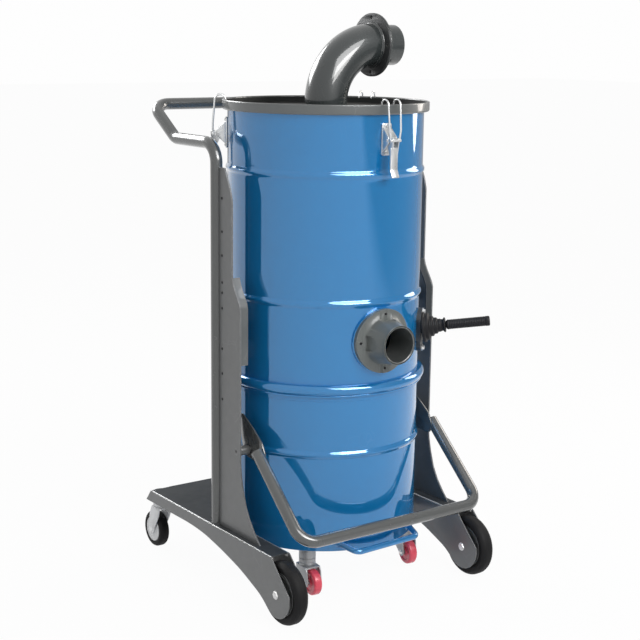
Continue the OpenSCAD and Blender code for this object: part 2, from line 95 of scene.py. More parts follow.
# ---------------------------------------------------------------- node trees


class TreeMaker:
    """Adds nodes to a tree with short calls."""

    def __init__(self, tree: bpy.types.NodeTree) -> None:
        """Takes the tree that gets the nodes."""
        self.tree = tree

    def node(self, kind: str, inputs: Optional[dict] = None, **settings: object) -> bpy.types.Node:
        """Adds a node.

        Args:
            kind: node type.
            inputs: input name or index to a value or to a socket that feeds it.
            settings: node properties.

        Returns:
            The new node.
        """
        made = self.tree.nodes.new(kind)
        for key, value in settings.items():
            setattr(made, key, value)
        for key, value in (inputs or {}).items():
            if isinstance(value, Socket):
                self.tree.links.new(value, made.inputs[key])
            else:
                made.inputs[key].default_value = value
        return made

    def math(self, how: str, *values: object, clamp: bool = False) -> Socket:
        """Joins values or sockets by an operation of the Math node."""
        return self.node("ShaderNodeMath", dict(enumerate(values)), operation=how, use_clamp=clamp).outputs[0]

    def ramp(self, value: Socket, low: float, high: float, to_low: float = 0.0, to_high: float = 1.0) -> Socket:
        """Maps the span from low to high onto another span."""
        return self.node("ShaderNodeMapRange", {"Value": value, "From Min": low, "From Max": high,
                                                "To Min": to_low, "To Max": to_high}).outputs[0]

    def noise(self, place: Socket, scale: float, detail: float, roughness: float = 0.5) -> bpy.types.NodeOutputs:
        """Adds noise and hands back its outputs."""
        return self.node("ShaderNodeTexNoise", {"Vector": place, "Scale": scale, "Detail": detail,
                                                "Roughness": roughness}).outputs

    def mix(self, mask: Socket, one: object, other: object) -> Socket:
        """Lays the other colour over the first where the mask is."""
        return self.node("ShaderNodeMix", {0: mask, 6: one, 7: other}, data_type="RGBA").outputs[2]


class GroupMaker(TreeMaker):
    """Builds one node group with named inputs and outputs."""

    def __init__(self, name: str, kind: str, takes: dict[str, object], gives: dict[str, str]) -> None:
        """Starts a group.

        Args:
            name: name of the group.
            kind: SHADER or GEOMETRY.
            takes: input name to its default value, or to its socket type if it has none.
            gives: output name to its socket type.
        """
        super().__init__(bpy.data.node_groups.new(name, kind))
        self.given = self.tree.nodes.new("NodeGroupInput").outputs
        self.end = self.tree.nodes.new("NodeGroupOutput")
        add = self.tree.interface.new_socket
        for key, value in takes.items():
            if isinstance(value, str):
                add(name=key, in_out="INPUT", socket_type=value)
            else:
                add(name=key, in_out="INPUT", socket_type=SOCKETS[type(value)]).default_value = value
        for key, value in gives.items():
            add(name=key, in_out="OUTPUT", socket_type=value)

    def out(self, name: str, socket: Socket) -> bpy.types.NodeTree:
        """Feeds one output and hands back the group."""
        self.tree.links.new(socket, self.end.inputs[name])
        return self.tree

    def place(self, scale: str) -> Socket:
        """Object coordinates times the named input."""
        spot = self.node("ShaderNodeTexCoord").outputs["Object"]
        return self.node("ShaderNodeVectorMath", {0: spot, "Scale": self.given[scale]}, operation="SCALE").outputs[0]

    def mask(self, one: Socket, other: Socket) -> bpy.types.NodeTree:
        """Ends a group whose Mask is two values times its Amount."""
        both = self.math("MULTIPLY", one, other)
        return self.out("Mask", self.math("MULTIPLY", both, self.given["Amount"], clamp=True))


# ------------------------------------------------------- shared shader groups


class Effects:
    """Shader groups that several finishes share, each built once."""

    def __init__(self) -> None:
        """Builds every group."""
        self.mottle = self._mottle()
        self.edge_wear_and_highlight = self._edge_wear_and_highlight()
        self.dust_fall = self._dust_fall()
        self.peel = self._peel()
        self.scuffs = self._scuffs()

    @staticmethod
    def _mottle() -> bpy.types.NodeTree:
        """Slow change of tone over a coat of paint or a moulding.

        Returns:
            The group, with Colour and Shift outputs.
        """
        maker = GroupMaker("coat_mottle", SHADER, {"Colour": (0.5, 0.5, 0.5, 1), "Deep Colour": (0.4, 0.4, 0.4, 1),
                                                   "Scale": 6.0, "Amount": 0.4}, {"Colour": COLOUR, "Shift": FLOAT})
        place, given = maker.place("Scale"), maker.given
        slow, fine = maker.noise(place, 1.0, 5.0, 0.62), maker.noise(place, 9.0, 3.0)
        spread = maker.ramp(maker.math("ADD", slow[0], fine[0]), 0.7, 1.3)
        strength = maker.math("MULTIPLY", spread, given["Amount"])
        maker.out("Colour", maker.mix(strength, given["Colour"], given["Deep Colour"]))
        return maker.out("Shift", maker.math("SUBTRACT", spread, 0.5))

    @staticmethod
    def _edge_wear_and_highlight() -> bpy.types.NodeTree:
        """Mask of rubbed edges, used for worn paint and for a painted highlight along edges.

        Returns:
            The group, with a Mask output.
        """
        maker = GroupMaker("edge_wear_and_highlight", SHADER, {"Width": 0.0015, "Grain": 120.0, "Amount": 0.6}, {"Mask": FLOAT})
        rounded = maker.node("ShaderNodeBevel", {"Radius": maker.given["Width"]}, samples=4).outputs[0]
        true_normal = maker.node("ShaderNodeNewGeometry").outputs["Normal"]
        dot = maker.node("ShaderNodeVectorMath", {0: rounded, 1: true_normal}, operation="DOT_PRODUCT")
        edge = maker.ramp(dot.outputs["Value"], 0.985, 0.86)
        return maker.mask(edge, maker.ramp(maker.noise(maker.place("Grain"), 1.0, 3.0)[0], 0.3, 0.62))

    @staticmethod
    def _dust_fall() -> bpy.types.NodeTree:
        """Mask of fine dust that settles on faces that look up.

        Returns:
            The group, with a Mask output.
        """
        maker = GroupMaker("dust_fall", SHADER, {"Amount": 0.3, "Scale": 14.0}, {"Mask": FLOAT})
        rise = maker.node("ShaderNodeSeparateXYZ", {0: maker.node("ShaderNodeNewGeometry").outputs["Normal"]})
        up = maker.ramp(rise.outputs["Z"], 0.35, 1.0)
        return maker.mask(up, maker.ramp(maker.noise(maker.place("Scale"), 1.0, 6.0, 0.7)[0], 0.4, 0.7))

    @staticmethod
    def _peel() -> bpy.types.NodeTree:
        """Small waves and grain of a sprayed or moulded surface.

        Returns:
            The group, with a Height output.
        """
        maker = GroupMaker("sprayed_peel", SHADER, {"Waves": 60.0, "Grain": 900.0, "Grain Share": 0.3},
                           {"Height": FLOAT})
        waves, grain = maker.noise(maker.place("Waves"), 1.0, 2.0), maker.noise(maker.place("Grain"), 1.0, 3.0)
        share = maker.math("MULTIPLY", grain[0], maker.given["Grain Share"])
        return maker.out("Height", maker.math("ADD", waves[0], share))

    @staticmethod
    def _scuffs() -> bpy.types.NodeTree:
        """Mask of thin scratches and rubbed spots.

        Returns:
            The group, with a Mask output.
        """
        maker = GroupMaker("fine_scuffs", SHADER, {"Scale": 30.0, "Amount": 0.3}, {"Mask": FLOAT})
        place = maker.place("Scale")
        warp = maker.noise(place, 0.6, 2.0)["Color"]
        moved = maker.node("ShaderNodeVectorMath", {0: place, 1: warp}, operation="ADD").outputs[0]
        lines = maker.node("ShaderNodeTexVoronoi", {"Vector": moved, "Scale": 0.8}, feature="DISTANCE_TO_EDGE")
        thin = maker.ramp(lines.outputs["Distance"], 0.012, 0.0)
        return maker.mask(thin, maker.ramp(maker.noise(place, 0.35, 1.0)[0], 0.55, 0.7))


# ------------------------------------------------------------------- finishes


@dataclass(frozen=True)
class Finish:
    """One surface finish, from its colours to its grain."""

    name: str
    slot: str
    colour: Colour
    deep: Colour
    rough: float
    metal: float = 0.0
    coat: float = 0.0
    coat_rough: float = 0.06
    coat_ior: float = 1.5
    edge: Colour = (0.6, 0.6, 0.6)
    edge_amount: float = 0.0
    edge_width: float = 0.0015
    dust: float = 0.15
    dust_dull: float = 0.5
    waves: float = 60.0
    grain: float = 900.0
    grain_share: float = 0.3
    bump: float = 0.05
    bump_depth: float = 0.0004
    mottle_scale: float = 6.0
    mottle: float = 0.4
    rough_swing: float = 0.08
    scuff: float = 0.2
    specular: float = 0.5

    def build(self, effects: Effects) -> bpy.types.Material:
        """Makes the material.

        Args:
            effects: the shared shader groups.

        Returns:
            The finished material.
        """
        material = bpy.data.materials.new(self.name)
        material.use_nodes = True
        maker = TreeMaker(material.node_tree)
        maker.tree.nodes.clear()

        def group(which: bpy.types.NodeTree, **values: object) -> bpy.types.NodeOutputs:
            """Places a shared group with its values."""
            named = {key.replace("_", " ").title(): value for key, value in values.items()}
            return maker.node("ShaderNodeGroup", named, node_tree=which).outputs

        tone = group(effects.mottle, colour=(*self.colour, 1), deep_colour=(*self.deep, 1),
                     scale=self.mottle_scale, amount=self.mottle)
        colour = tone["Colour"]
        # Edges get the light edge colour: partly worn paint, partly a painted highlight along sheet edges.
        if self.edge_amount > 0:
            worn_and_lit = group(effects.edge_wear_and_highlight, width=self.edge_width, amount=self.edge_amount)
            colour = maker.mix(worn_and_lit[0], colour, (*self.edge, 1))
        colour = maker.mix(group(effects.scuffs, amount=self.scuff)[0], colour, (*self.edge, 1))
        fallen = group(effects.dust_fall, amount=self.dust)[0]
        colour = maker.mix(fallen, colour, (*DUST, 1))
        swing = maker.math("MULTIPLY_ADD", tone["Shift"], self.rough_swing, self.rough)
        dull = maker.math("MULTIPLY_ADD", fallen, self.dust_dull, swing, clamp=True)
        skin = group(effects.peel, waves=self.waves, grain=self.grain, grain_share=self.grain_share)
        bump = maker.node("ShaderNodeBump", {"Strength": self.bump, "Distance": self.bump_depth, "Height": skin[0]})
        surface = maker.node("ShaderNodeBsdfPrincipled", {
            "Base Color": colour, "Metallic": self.metal, "Roughness": dull, "Normal": bump.outputs[0],
            "Coat Weight": self.coat, "Coat Roughness": self.coat_rough, "Coat IOR": self.coat_ior,
            "Specular IOR Level": self.specular})
        maker.node("ShaderNodeOutputMaterial", {0: surface.outputs[0]})
        return material


BLUE_ENAMEL = Finish("blue_enamel", "blue_paint", (0.008, 0.214, 0.525), (0.007, 0.195, 0.49), 0.07, metal=0.25,
                     coat=1.0, coat_rough=0.012, coat_ior=1.7, edge=(0.2, 0.42, 0.72), edge_amount=0.12, dust=0.06,
                     waves=9.0, grain=260.0, grain_share=0.05, bump=0.03, mottle=0.35, rough_swing=0.02, scuff=0.06,
                     specular=0.04)
DARK_ENAMEL = Finish("dark_enamel", "dark_paint", (0.105, 0.115, 0.115), (0.085, 0.092, 0.092), 0.36, coat=0.8,
                     coat_rough=0.08, edge=(0.55, 0.55, 0.53), edge_amount=0.35, dust=0.18, waves=80.0)
DUCT_ENAMEL = Finish("duct_enamel", "dark_metal", (0.040, 0.048, 0.049), (0.032, 0.039, 0.040), 0.26, coat=1.0,
                     coat_rough=0.03, edge=(0.6, 0.6, 0.58), edge_amount=0.3, dust=0.06, waves=30.0, bump=0.03,
                     specular=0.3)
CAST_ENAMEL = Finish("cast_enamel", "dark_metal", (0.125, 0.14, 0.136), (0.10, 0.113, 0.11), 0.46, coat=0.35,
                     coat_rough=0.22, edge=(0.62, 0.64, 0.62), edge_amount=0.5, edge_width=0.0012, dust=0.10,
                     waves=160.0, bump=0.09)
FLANGE_PAINT = Finish("flange_paint", "dark_paint", (0.044, 0.047, 0.049), (0.034, 0.037, 0.039), 0.48, coat=0.15,
                      coat_rough=0.4, edge=(0.4, 0.4, 0.4), edge_amount=0.2, edge_width=0.001, dust=0.05, waves=90.0,
                      bump=0.015, scuff=0.05, specular=0.25)
# Pale grey for the rods along the legs' top folds: a painted highlight of the bends.
FOLD_HIGHLIGHT_PAINT = Finish("fold_painted_highlight", "grey_paint", (0.52, 0.53, 0.53), (0.44, 0.45, 0.45), 0.34, coat=1.0,
                    coat_rough=0.2, edge=(0.7, 0.7, 0.7), edge_amount=0.2, dust=0.04, waves=160.0, bump=0.03,
                    mottle_scale=14.0, scuff=0.1)
# Near-black skin for the inside of the lid: painted shade inside the rim and the pan.
LID_SHADE = Finish("lid_painted_shade", "dark_paint", (0.022, 0.024, 0.024), (0.016, 0.018, 0.018), 0.5, dust=0.10, waves=120.0,
                edge=(0.2, 0.2, 0.2), specular=0.2)
# Its light edges are partly rubbed paint, partly a painted highlight along the sheet edges.
FRAME_PAINT = Finish("frame_paint", "grey_paint", (0.135, 0.14, 0.142), (0.11, 0.115, 0.118), 0.38, coat=0.35,
                     coat_rough=0.2, edge=(0.62, 0.62, 0.61), edge_amount=0.5, edge_width=0.002, dust=0.12,
                     waves=240.0, bump=0.06, scuff=0.15)
# Darker grey for the platform top and the right upright's returned edge: the frame's grey darkened as painted shade
# where less light reaches.
DECK_SHADE_PAINT = Finish("deck_painted_shade", "grey_paint", (0.056, 0.062, 0.066), (0.046, 0.051, 0.055), 0.5,
                    edge=(0.5, 0.5, 0.5), edge_amount=0.4, dust=0.03, waves=240.0, bump=0.06,
                    scuff=0.08, specular=0.1)
TUBE_PAINT = Finish("tube_paint", "grey_paint", (0.076, 0.081, 0.080), (0.062, 0.066, 0.066), 0.26, coat=1.0,
                    coat_rough=0.05, edge=(0.5, 0.5, 0.5), dust=0.04, waves=60.0, scuff=0.05, mottle=0.2, bump=0.02,
                    rough_swing=0.04)
ZINC = Finish("zinc_plate", "zinc", (0.72, 0.73, 0.73), (0.6, 0.61, 0.62), 0.3, metal=0.85, edge=(0.9, 0.9, 0.9),
              edge_amount=0.3, edge_width=0.0008, dust=0.05, waves=400.0, mottle_scale=40.0, mottle=0.6)
PALE_METAL = Finish("pale_fork", "pale_metal", (0.87, 0.88, 0.89), (0.80, 0.81, 0.82), 0.4, coat=0.3,
                    edge=(0.8, 0.8, 0.8), edge_amount=0.2, dust=0.08)
NUT_METAL = Finish("bright_nut", "zinc", (0.86, 0.86, 0.85), (0.78, 0.78, 0.78), 0.35, metal=0.2, coat=0.4,
                   edge=(0.95, 0.95, 0.95), edge_amount=0.3, edge_width=0.0006, dust=0.03, mottle_scale=60.0)
CASTER_METAL = Finish("caster_bracket", "zinc", (0.42, 0.43, 0.44), (0.35, 0.36, 0.37), 0.38, metal=0.35,
                      edge=(0.75, 0.75, 0.75), edge_amount=0.4, edge_width=0.001, dust=0.08, mottle_scale=30.0)
TYRE = Finish("tyre_rubber", "tyre_black", (0.010, 0.010, 0.011), (0.015, 0.015, 0.015), 0.6, dust=0.04,
              edge=(0.06, 0.06, 0.06), waves=300.0, grain=1400.0, grain_share=0.8, bump=0.15, scuff=0.3,
              specular=0.15)
RUBBER = Finish("moulded_rubber", "black_rubber", (0.016, 0.016, 0.018), (0.022, 0.022, 0.024), 0.5, dust=0.06,
                edge=(0.06, 0.06, 0.06), waves=250.0, grain=1600.0, grain_share=0.9, bump=0.15, specular=0.18)
RED_WHEEL = Finish("red_wheel", "red_plastic", (0.86, 0.075, 0.125), (0.78, 0.06, 0.105), 0.34, coat=0.3,
                   edge=(0.9, 0.3, 0.33), edge_amount=0.2, edge_width=0.001, dust=0.05, mottle_scale=20.0)
FINISHES = (BLUE_ENAMEL, DARK_ENAMEL, DUCT_ENAMEL, CAST_ENAMEL, FLANGE_PAINT, FOLD_HIGHLIGHT_PAINT, LID_SHADE, FRAME_PAINT,
            DECK_SHADE_PAINT, TUBE_PAINT, ZINC, PALE_METAL, NUT_METAL, CASTER_METAL, TYRE, RUBBER, RED_WHEEL)

# ------------------------------------------------------------- outline makers


def soften(points: Sequence[Pair], radius: float, steps: int = 3, closed: bool = True) -> list[Pair]:
    """Rounds the corners of an outline.

    Args:
        points: the corners.
        radius: how far from a corner its rounding starts.
        steps: points for each rounding, less one.
        closed: whether the last point joins the first.

    Returns:
        The rounded outline.
    """
    made: list[Pair] = []
    count = len(points)
    for index, point in enumerate(points):
        here = Vector(point)
        back, ahead = Vector(points[index - 1]) - here, Vector(points[(index + 1) % count]) - here
        reach = min(radius, 0.45 * back.length, 0.45 * ahead.length)
        if reach < 1e-6 or not closed and index in (0, count - 1):
            made.append(point)
            continue
        first, last = here + back.normalized() * reach, here + ahead.normalized() * reach
        for step in range(steps + 1):
            share = step / steps
            made.append(tuple(first.lerp(here, share).lerp(here.lerp(last, share), share)))
    return made


def box(x0: float, y0: float, x1: float, y1: float) -> list[Pair]:
    """Outline of a rectangle."""
    return [(x0, y0), (x1, y0), (x1, y1), (x0, y1)]


def mirrored(half: Sequence[Pair]) -> list[Pair]:
    """Profile that runs down one side of Z = 0 and back on the other."""
    return [*half, *((r, -z) for r, z in reversed(half))]


def round_spot(radius: float, angle: float) -> Pair:
    """Spot on a circle about the axis, at an angle in radians."""
    return radius * math.cos(angle), radius * math.sin(angle)


def arc(centre: Pair, radius: float, start: float, end: float, steps: int = 24) -> list[Pair]:
    """Points on an arc.

    Args:
        centre: centre of the arc.
        radius: its radius.
        start: first angle in degrees.
        end: last angle in degrees.
        steps: number of steps.

    Returns:
        The points, both ends included.
    """
    spots = (round_spot(radius, math.radians(start + (end - start) * k / steps)) for k in range(steps + 1))
    return [(centre[0] + x, centre[1] + y) for x, y in spots]


def route(corners: Sequence[Triple], radius: float, steps: int = 14) -> list[Vector]:
    """Centre line of a bent tube.

    Args:
        corners: where the straight runs meet, with both ends.
        radius: bend radius of the centre line.
        steps: steps in a bend.

    Returns:
        Points along the tube.
    """
    line = [Vector(corners[0])]
    for before, here, after in zip(corners, corners[1:], corners[2:]):
        corner = Vector(here)
        back, ahead = (Vector(before) - corner).normalized(), (Vector(after) - corner).normalized()
        turn = math.pi - back.angle(ahead)
        centre = corner + (back + ahead).normalized() * (radius / math.cos(turn / 2))
        first = corner + back * (radius * math.tan(turn / 2)) - centre
        hub = back.cross(first).normalized()
        line += [centre + Matrix.Rotation(turn * step / steps, 3, hub) @ first for step in range(steps + 1)]
    return [*line, Vector(corners[-1])]


# --------------------------------------------------------------- shape makers


def at(x: float, y: float, z: float, axis: Axis = Axis.Z) -> Matrix:
    """Place of a piece drawn along Z, once its Z lies along an axis."""
    return Matrix.Translation((x, y, z)) @ axis.value


def placed(shape: Shape, place: Matrix) -> Shape:
    """Moves a shape and hands it back."""
    shape.transform(place)
    return shape


def evaluated(data: bpy.types.ID, prepare: Callable[[bpy.types.Object], None] = lambda holder: None) -> Shape:
    """Shape of a mesh or curve after its modifiers have run.

    Args:
        data: the mesh or curve.
        prepare: adds modifiers to the object that holds the data.

    Returns:
        The shape.
    """
    holder = bpy.data.objects.new("holder", data)
    bpy.context.scene.collection.objects.link(holder)
    prepare(holder)
    graph = bpy.context.evaluated_depsgraph_get()
    mesh = bpy.data.meshes.new_from_object(holder.evaluated_get(graph))
    holder.modifiers.clear()
    bpy.data.objects.remove(holder)
    shape = bmesh.new()
    shape.from_mesh(mesh)
    bpy.data.meshes.remove(mesh)
    return shape


def stitch(shape: Shape, rings: Sequence[Sequence[bmesh.types.BMVert]], closed: bool = True) -> None:
    """Joins a closed round of point rows by faces.

    Args:
        shape: the shape that the points are in.
        rings: rows of points, each as long as the others.
        closed: whether a row's end joins its start.
    """
    long = len(rings[0])
    for step, ring in enumerate(rings):
        other = rings[(step + 1) % len(rings)]
        for index in range(long if closed else long - 1):
            nxt = (index + 1) % long
            shape.faces.new((ring[index], other[index], other[nxt], ring[nxt]))


def turned(profile: Sequence[Pair], segments: int = 96, closed: bool = True) -> Shape:
    """Turns a profile of radius and height about Z.

    Args:
        profile: points of radius and height.
        segments: steps round.
        closed: whether the profile's end joins its start.

    Returns:
        The turned shape.
    """
    shape = bmesh.new()
    spots = [round_spot(1.0, 2 * math.pi * step / segments) for step in range(segments)]
    stitch(shape, [[shape.verts.new((r * x, r * y, z)) for r, z in profile] for x, y in spots], closed)
    bmesh.ops.remove_doubles(shape, verts=shape.verts, dist=1e-7)
    bmesh.ops.dissolve_degenerate(shape, edges=shape.edges, dist=1e-8)
    return shape


def pin(radius: float, half: float, sides: int, edge: float = 0.0, steps: int = 3, closed: bool = True) -> Shape:
    """Round pin along Z, half of it on each side of Z = 0.

    Args:
        radius: its radius.
        half: half of its length.
        sides: steps round.
        edge: rounding of its ends.
        steps: steps in that rounding.
        closed: whether its corners on the axis are rounded as well.

    Returns:
        The pin.
    """
    profile = box(0, -half, radius, half)
    return turned(soften(profile, edge, steps, closed), sides, closed)


def plate(outline: Sequence[Pair], thick: float, edge: float = 0.0006, holes: Iterable[Triple] = ()) -> Shape:
    """Flat sheet with rounded edges, drawn in XY about Z = 0.

    Args:
        outline: corners of the sheet.
        thick: thickness.
        edge: rounding of its edges.
        holes: centre and radius of each hole.

    Returns:
        The sheet.
    """
    curve = bpy.data.curves.new("sheet", "CURVE")
    curve.dimensions, curve.fill_mode = "2D", "BOTH"
    curve.extrude, curve.bevel_depth, curve.bevel_resolution = max(thick / 2 - edge, 1e-5), edge, 1
    for loop in [list(outline)] + [arc((x, y), r, 0, 345, 23) for x, y, r in holes]:
        spline = curve.splines.new("POLY")
        spline.points.add(len(loop) - 1)
        for spot, point in zip(spline.points, loop):
            spot.co = (*point, 0, 1)
        spline.use_cyclic_u = True
    shape = evaluated(curve)
    bmesh.ops.remove_doubles(shape, verts=shape.verts, dist=1e-6)
    return shape


def pipe(line: Sequence[Vector], outer: float, wall: float, sides: int = 96) -> Shape:
    """Open pipe with a real wall along a line that lies in a plane y = constant.

    Args:
        line: centre line.
        outer: outside radius.
        wall: wall thickness.
        sides: steps round.

    Returns:
        The pipe.
    """
    shape = bmesh.new()
    skins: list[list[list[bmesh.types.BMVert]]] = []
    for radius in (outer, outer - wall):
        rings = []
        for index, spot in enumerate(line):
            ahead = (line[min(index + 1, len(line) - 1)] - line[max(index - 1, 0)]).normalized()
            side = Vector((0, 1, 0))
            rise = ahead.cross(side)
            turns = (round_spot(1.0, 2 * math.pi * step / sides) for step in range(sides))
            rings.append([shape.verts.new(spot + (side * x + rise * y) * radius) for x, y in turns])
        skins.append(rings)
    stitch(shape, [*skins[0], *reversed(skins[1])])
    bmesh.ops.recalc_face_normals(shape, faces=shape.faces)
    return shape


# ------------------------------------------------------------------- workshop


class Workshop:
    """Makes finished pieces and fixes each one to its body."""

    head_taper, washer_share, head_turn = 0.86, 0.3, 1.05

    def __init__(self) -> None:
        """Reads the frame's place and builds finishes and node trees."""
        low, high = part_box("chamber")
        self.shift = Vector(((low[0] + high[0]) / 2, (low[1] + high[1]) / 2, 0.0))
        effects = Effects()
        self.materials = {finish.name: finish.build(effects) for finish in FINISHES}
        self.tube_tree = self._tube_tree()
        self.stud_trees = {layout: self._stud_tree(layout) for layout in Layout}
        self.count = 0

    @staticmethod
    def _close(maker: GroupMaker, shape: Socket) -> bpy.types.NodeTree:
        """Ends a geometry tree with realized, finished meshes."""
        inputs = {"Geometry": maker.node("GeometryNodeRealizeInstances", {0: shape}).outputs[0],
                  "Material": maker.given["Finish"]}
        return maker.out("Geometry", maker.node("GeometryNodeSetMaterial", inputs).outputs[0])

    def _tube_tree(self) -> bpy.types.NodeTree:
        """Tree that sweeps a round section along a line.

        Returns:
            The tree.
        """
        maker = GroupMaker("bent_tube", GEOMETRY, {"Geometry": MESH, "Radius": 0.01, "Sides": 32, "Finish": MATERIAL},
                           {"Geometry": MESH})
        given = maker.given
        line = maker.node("GeometryNodeMeshToCurve", {0: given["Geometry"]})
        ring = maker.node("GeometryNodeCurvePrimitiveCircle", {"Resolution": given["Sides"],
                                                               "Radius": given["Radius"]})
        swept = maker.node("GeometryNodeCurveToMesh", {"Curve": line.outputs[0], "Profile Curve": ring.outputs[0],
                                                       "Fill Caps": True})
        return self._close(maker, swept.outputs[0])

    def _stud_tree(self, layout: Layout) -> bpy.types.NodeTree:
        """Tree that spreads screw heads with their washers.

        Args:
            layout: row or given points.

        Returns:
            The tree.
        """
        maker = GroupMaker(f"studs_{layout.value}", GEOMETRY, {
            "Geometry": MESH, "Count": 4, "Spread": 0.05, "Head Radius": 0.006, "Head Height": 0.004, "Sides": 6,
            "Washer": 1.3, "Seed": 3, "Finish": MATERIAL}, {"Geometry": MESH})
        given = maker.given
        top = maker.math("MULTIPLY", given["Head Radius"], self.head_taper)
        head = maker.node("GeometryNodeMeshCone", {"Vertices": given["Sides"], "Radius Top": top,
                                                   "Radius Bottom": given["Head Radius"],
                                                   "Depth": given["Head Height"]})
        wide = maker.math("MULTIPLY", given["Head Radius"], given["Washer"])
        thin = maker.math("MULTIPLY", given["Head Height"], self.washer_share)
        ring = maker.node("GeometryNodeMeshCylinder", {"Vertices": 20, "Radius": wide, "Depth": thin})
        both = maker.node("GeometryNodeJoinGeometry")
        maker.tree.links.new(head.outputs["Mesh"], both.inputs[0])
        maker.tree.links.new(ring.outputs["Mesh"], both.inputs[0])
        points = given["Geometry"]
        if layout is Layout.ROW:
            step = maker.node("ShaderNodeCombineXYZ", {"Y": given["Spread"]}).outputs[0]
            points = maker.node("GeometryNodeMeshLine", {"Count": given["Count"], "Offset": step}).outputs[0]
        turn = maker.node("FunctionNodeRandomValue", {"Min": (0.0, 0.0, 0.0), "Max": (0.0, 0.0, self.head_turn),
                                                      "Seed": given["Seed"]}, data_type="FLOAT_VECTOR")
        spread = maker.node("GeometryNodeInstanceOnPoints", {"Points": points, "Instance": both.outputs[0],
                                                             "Rotation": turn.outputs[0]})
        return self._close(maker, spread.outputs[0])

    @staticmethod
    def _run_tree(tree: bpy.types.NodeTree, spots: Sequence[Triple], edges: Sequence[tuple[int, int]],
                  values: dict[str, object]) -> Shape:
        """Runs a geometry tree once and keeps the plain shape.

        Args:
            tree: the tree.
            spots: points that it starts from.
            edges: pairs of points that are joined.
            values: input name to value.

        Returns:
            The resulting shape.
        """
        def prepare(holder: bpy.types.Object) -> None:
            """Adds the tree with its values, each set by its socket's identifier."""
            modifier = holder.modifiers.new("tree", "NODES")
            modifier.node_group = tree
            for item in tree.interface.items_tree:
                if item.item_type == "SOCKET" and item.in_out == "INPUT" and item.name in values:
                    modifier[item.identifier] = values[item.name]
            holder.update_tag()

        mesh = bpy.data.meshes.new("spots")
        mesh.from_pydata([tuple(spot) for spot in spots], edges, [])
        return evaluated(mesh, prepare)

    def rod(self, line: Sequence[Vector], radius: float, sides: int = 32) -> Shape:
        """Round bar or tube along a line, made by the tube tree."""
        return self._run_tree(self.tube_tree, line, [(i, i + 1) for i in range(len(line) - 1)],
                              {"Radius": radius, "Sides": sides})

    def studs(self, layout: Layout, place: Matrix, head: float, height: float, count: int = 4, spread: float = 0.05,
              sides: int = 6, washer: float = 1.3, spots: Sequence[Triple] = ((0, 0, 0),)) -> Shape:
        """Screw heads, drawn looking along +Z and then placed.

        Args:
            layout: row or given points.
            place: where the whole set goes.
            head: head radius.
            height: head height.
            count: how many in a row.
            spread: step of the row.
            sides: sides of a head.
            washer: washer radius over head radius.
            spots: the points, for Layout.POINTS.

        Returns:
            The heads.
        """
        return placed(self._run_tree(self.stud_trees[layout], spots, [], {
            "Count": count, "Spread": spread, "Head Radius": head, "Head Height": height, "Sides": sides,
            "Washer": washer, "Seed": count + sides}), place)

    def node_copy(self, name: str) -> Shape:
        """Merged copy of a frame node, moved back to the drawing place.

        Args:
            name: the node.

        Returns:
            Its shape, about the chamber axis.
        """
        shape = bmesh.new()
        shape.from_mesh(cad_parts[name].data)
        shape.transform(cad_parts[name].matrix_world)
        bmesh.ops.remove_doubles(shape, verts=shape.verts, dist=2e-6)
        bmesh.ops.dissolve_limit(shape, angle_limit=math.radians(0.2), verts=shape.verts, edges=shape.edges)
        return placed(shape, Matrix.Translation(-self.shift))

    def piece(self, name: str, finish: Finish, body: str, shapes: Sequence[Shape],
              stands_for: Sequence[str] = (), sharp: float = 32.0, outward: bool = False) -> bpy.types.Object:
        """Joins shapes into one piece, dresses it and fixes it to a body.

        Args:
            name: name of the piece.
            finish: its finish.
            body: the body that carries it, or FREE for a piece that is fixed to no body.
            shapes: what it is made of.
            stands_for: frame nodes that it stands for.
            sharp: angle in degrees above which an edge stays sharp.
            outward: whether faces are first turned outwards.

        Returns:
            The new object.
        """
        mesh = bpy.data.meshes.new(name)
        whole = bmesh.new()
        for shape in shapes:
            if outward:
                bmesh.ops.recalc_face_normals(shape, faces=shape.faces)
            part = bpy.data.meshes.new("part")
            shape.to_mesh(part)
            shape.free()
            whole.from_mesh(part)
            bpy.data.meshes.remove(part)
        whole.transform(Matrix.Translation(self.shift))
        whole.to_mesh(mesh)
        whole.free()
        mesh.materials.clear()
        mesh.materials.append(self.materials[finish.name])
        for face in mesh.polygons:
            face.material_index = 0
        mesh.shade_smooth()
        mesh.set_sharp_from_angle(angle=math.radians(sharp))
        made = bpy.data.objects.new(name, mesh)
        bpy.context.scene.collection.objects.link(made)
        if body != FREE:
            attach(made, body)
        if stands_for:
            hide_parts(*stands_for)
        self.count += 1
        LOG.info("%s: %d faces on %s", name, len(mesh.polygons), body)
        return made

    def wheel(self, name: str, finish: Finish, body: str, half: Sequence[Pair], edge: float, segments: int,
              place: Matrix, stands_for: Sequence[str] = (), sharp: float = 35.0, steps: int = 3) -> None:
        """Makes a wheel's part that is the same on both sides.

        Args:
            name: name of the piece.
            finish: its finish.
            body: the body that carries it.
            half: profile of one side, outwards.
            edge: rounding of its corners.
            segments: steps round.
            place: where it goes.
            stands_for: frame nodes that it stands for.
            sharp: angle in degrees above which an edge stays sharp.
            steps: steps in a rounding.
        """
        shape = placed(turned(soften(mirrored(half), edge, steps), segments), place)
        self.piece(name, finish, body, [shape], stands_for, sharp, True)


# ----------------------------------------------------------------- assemblies

DRUM_RADIUS, LID_LOW = 0.230, 1.127
INLET_HIGH, FLAP_HIGH = 0.617, 0.618
LEG_X, STEM_Y = 0.273, 0.318
AXLE: Pair = (-0.249, 0.073)
LIFT_PIVOT: Pair = (-0.056, 0.354)
LIFT_BORE = 0.0081
CASTER_RING = 0.205
CASTERS: tuple[Pair, ...] = ((-136.0, 20.0), (-44.0, -6.0), (56.0, -8.0), (124.0, -15.0))


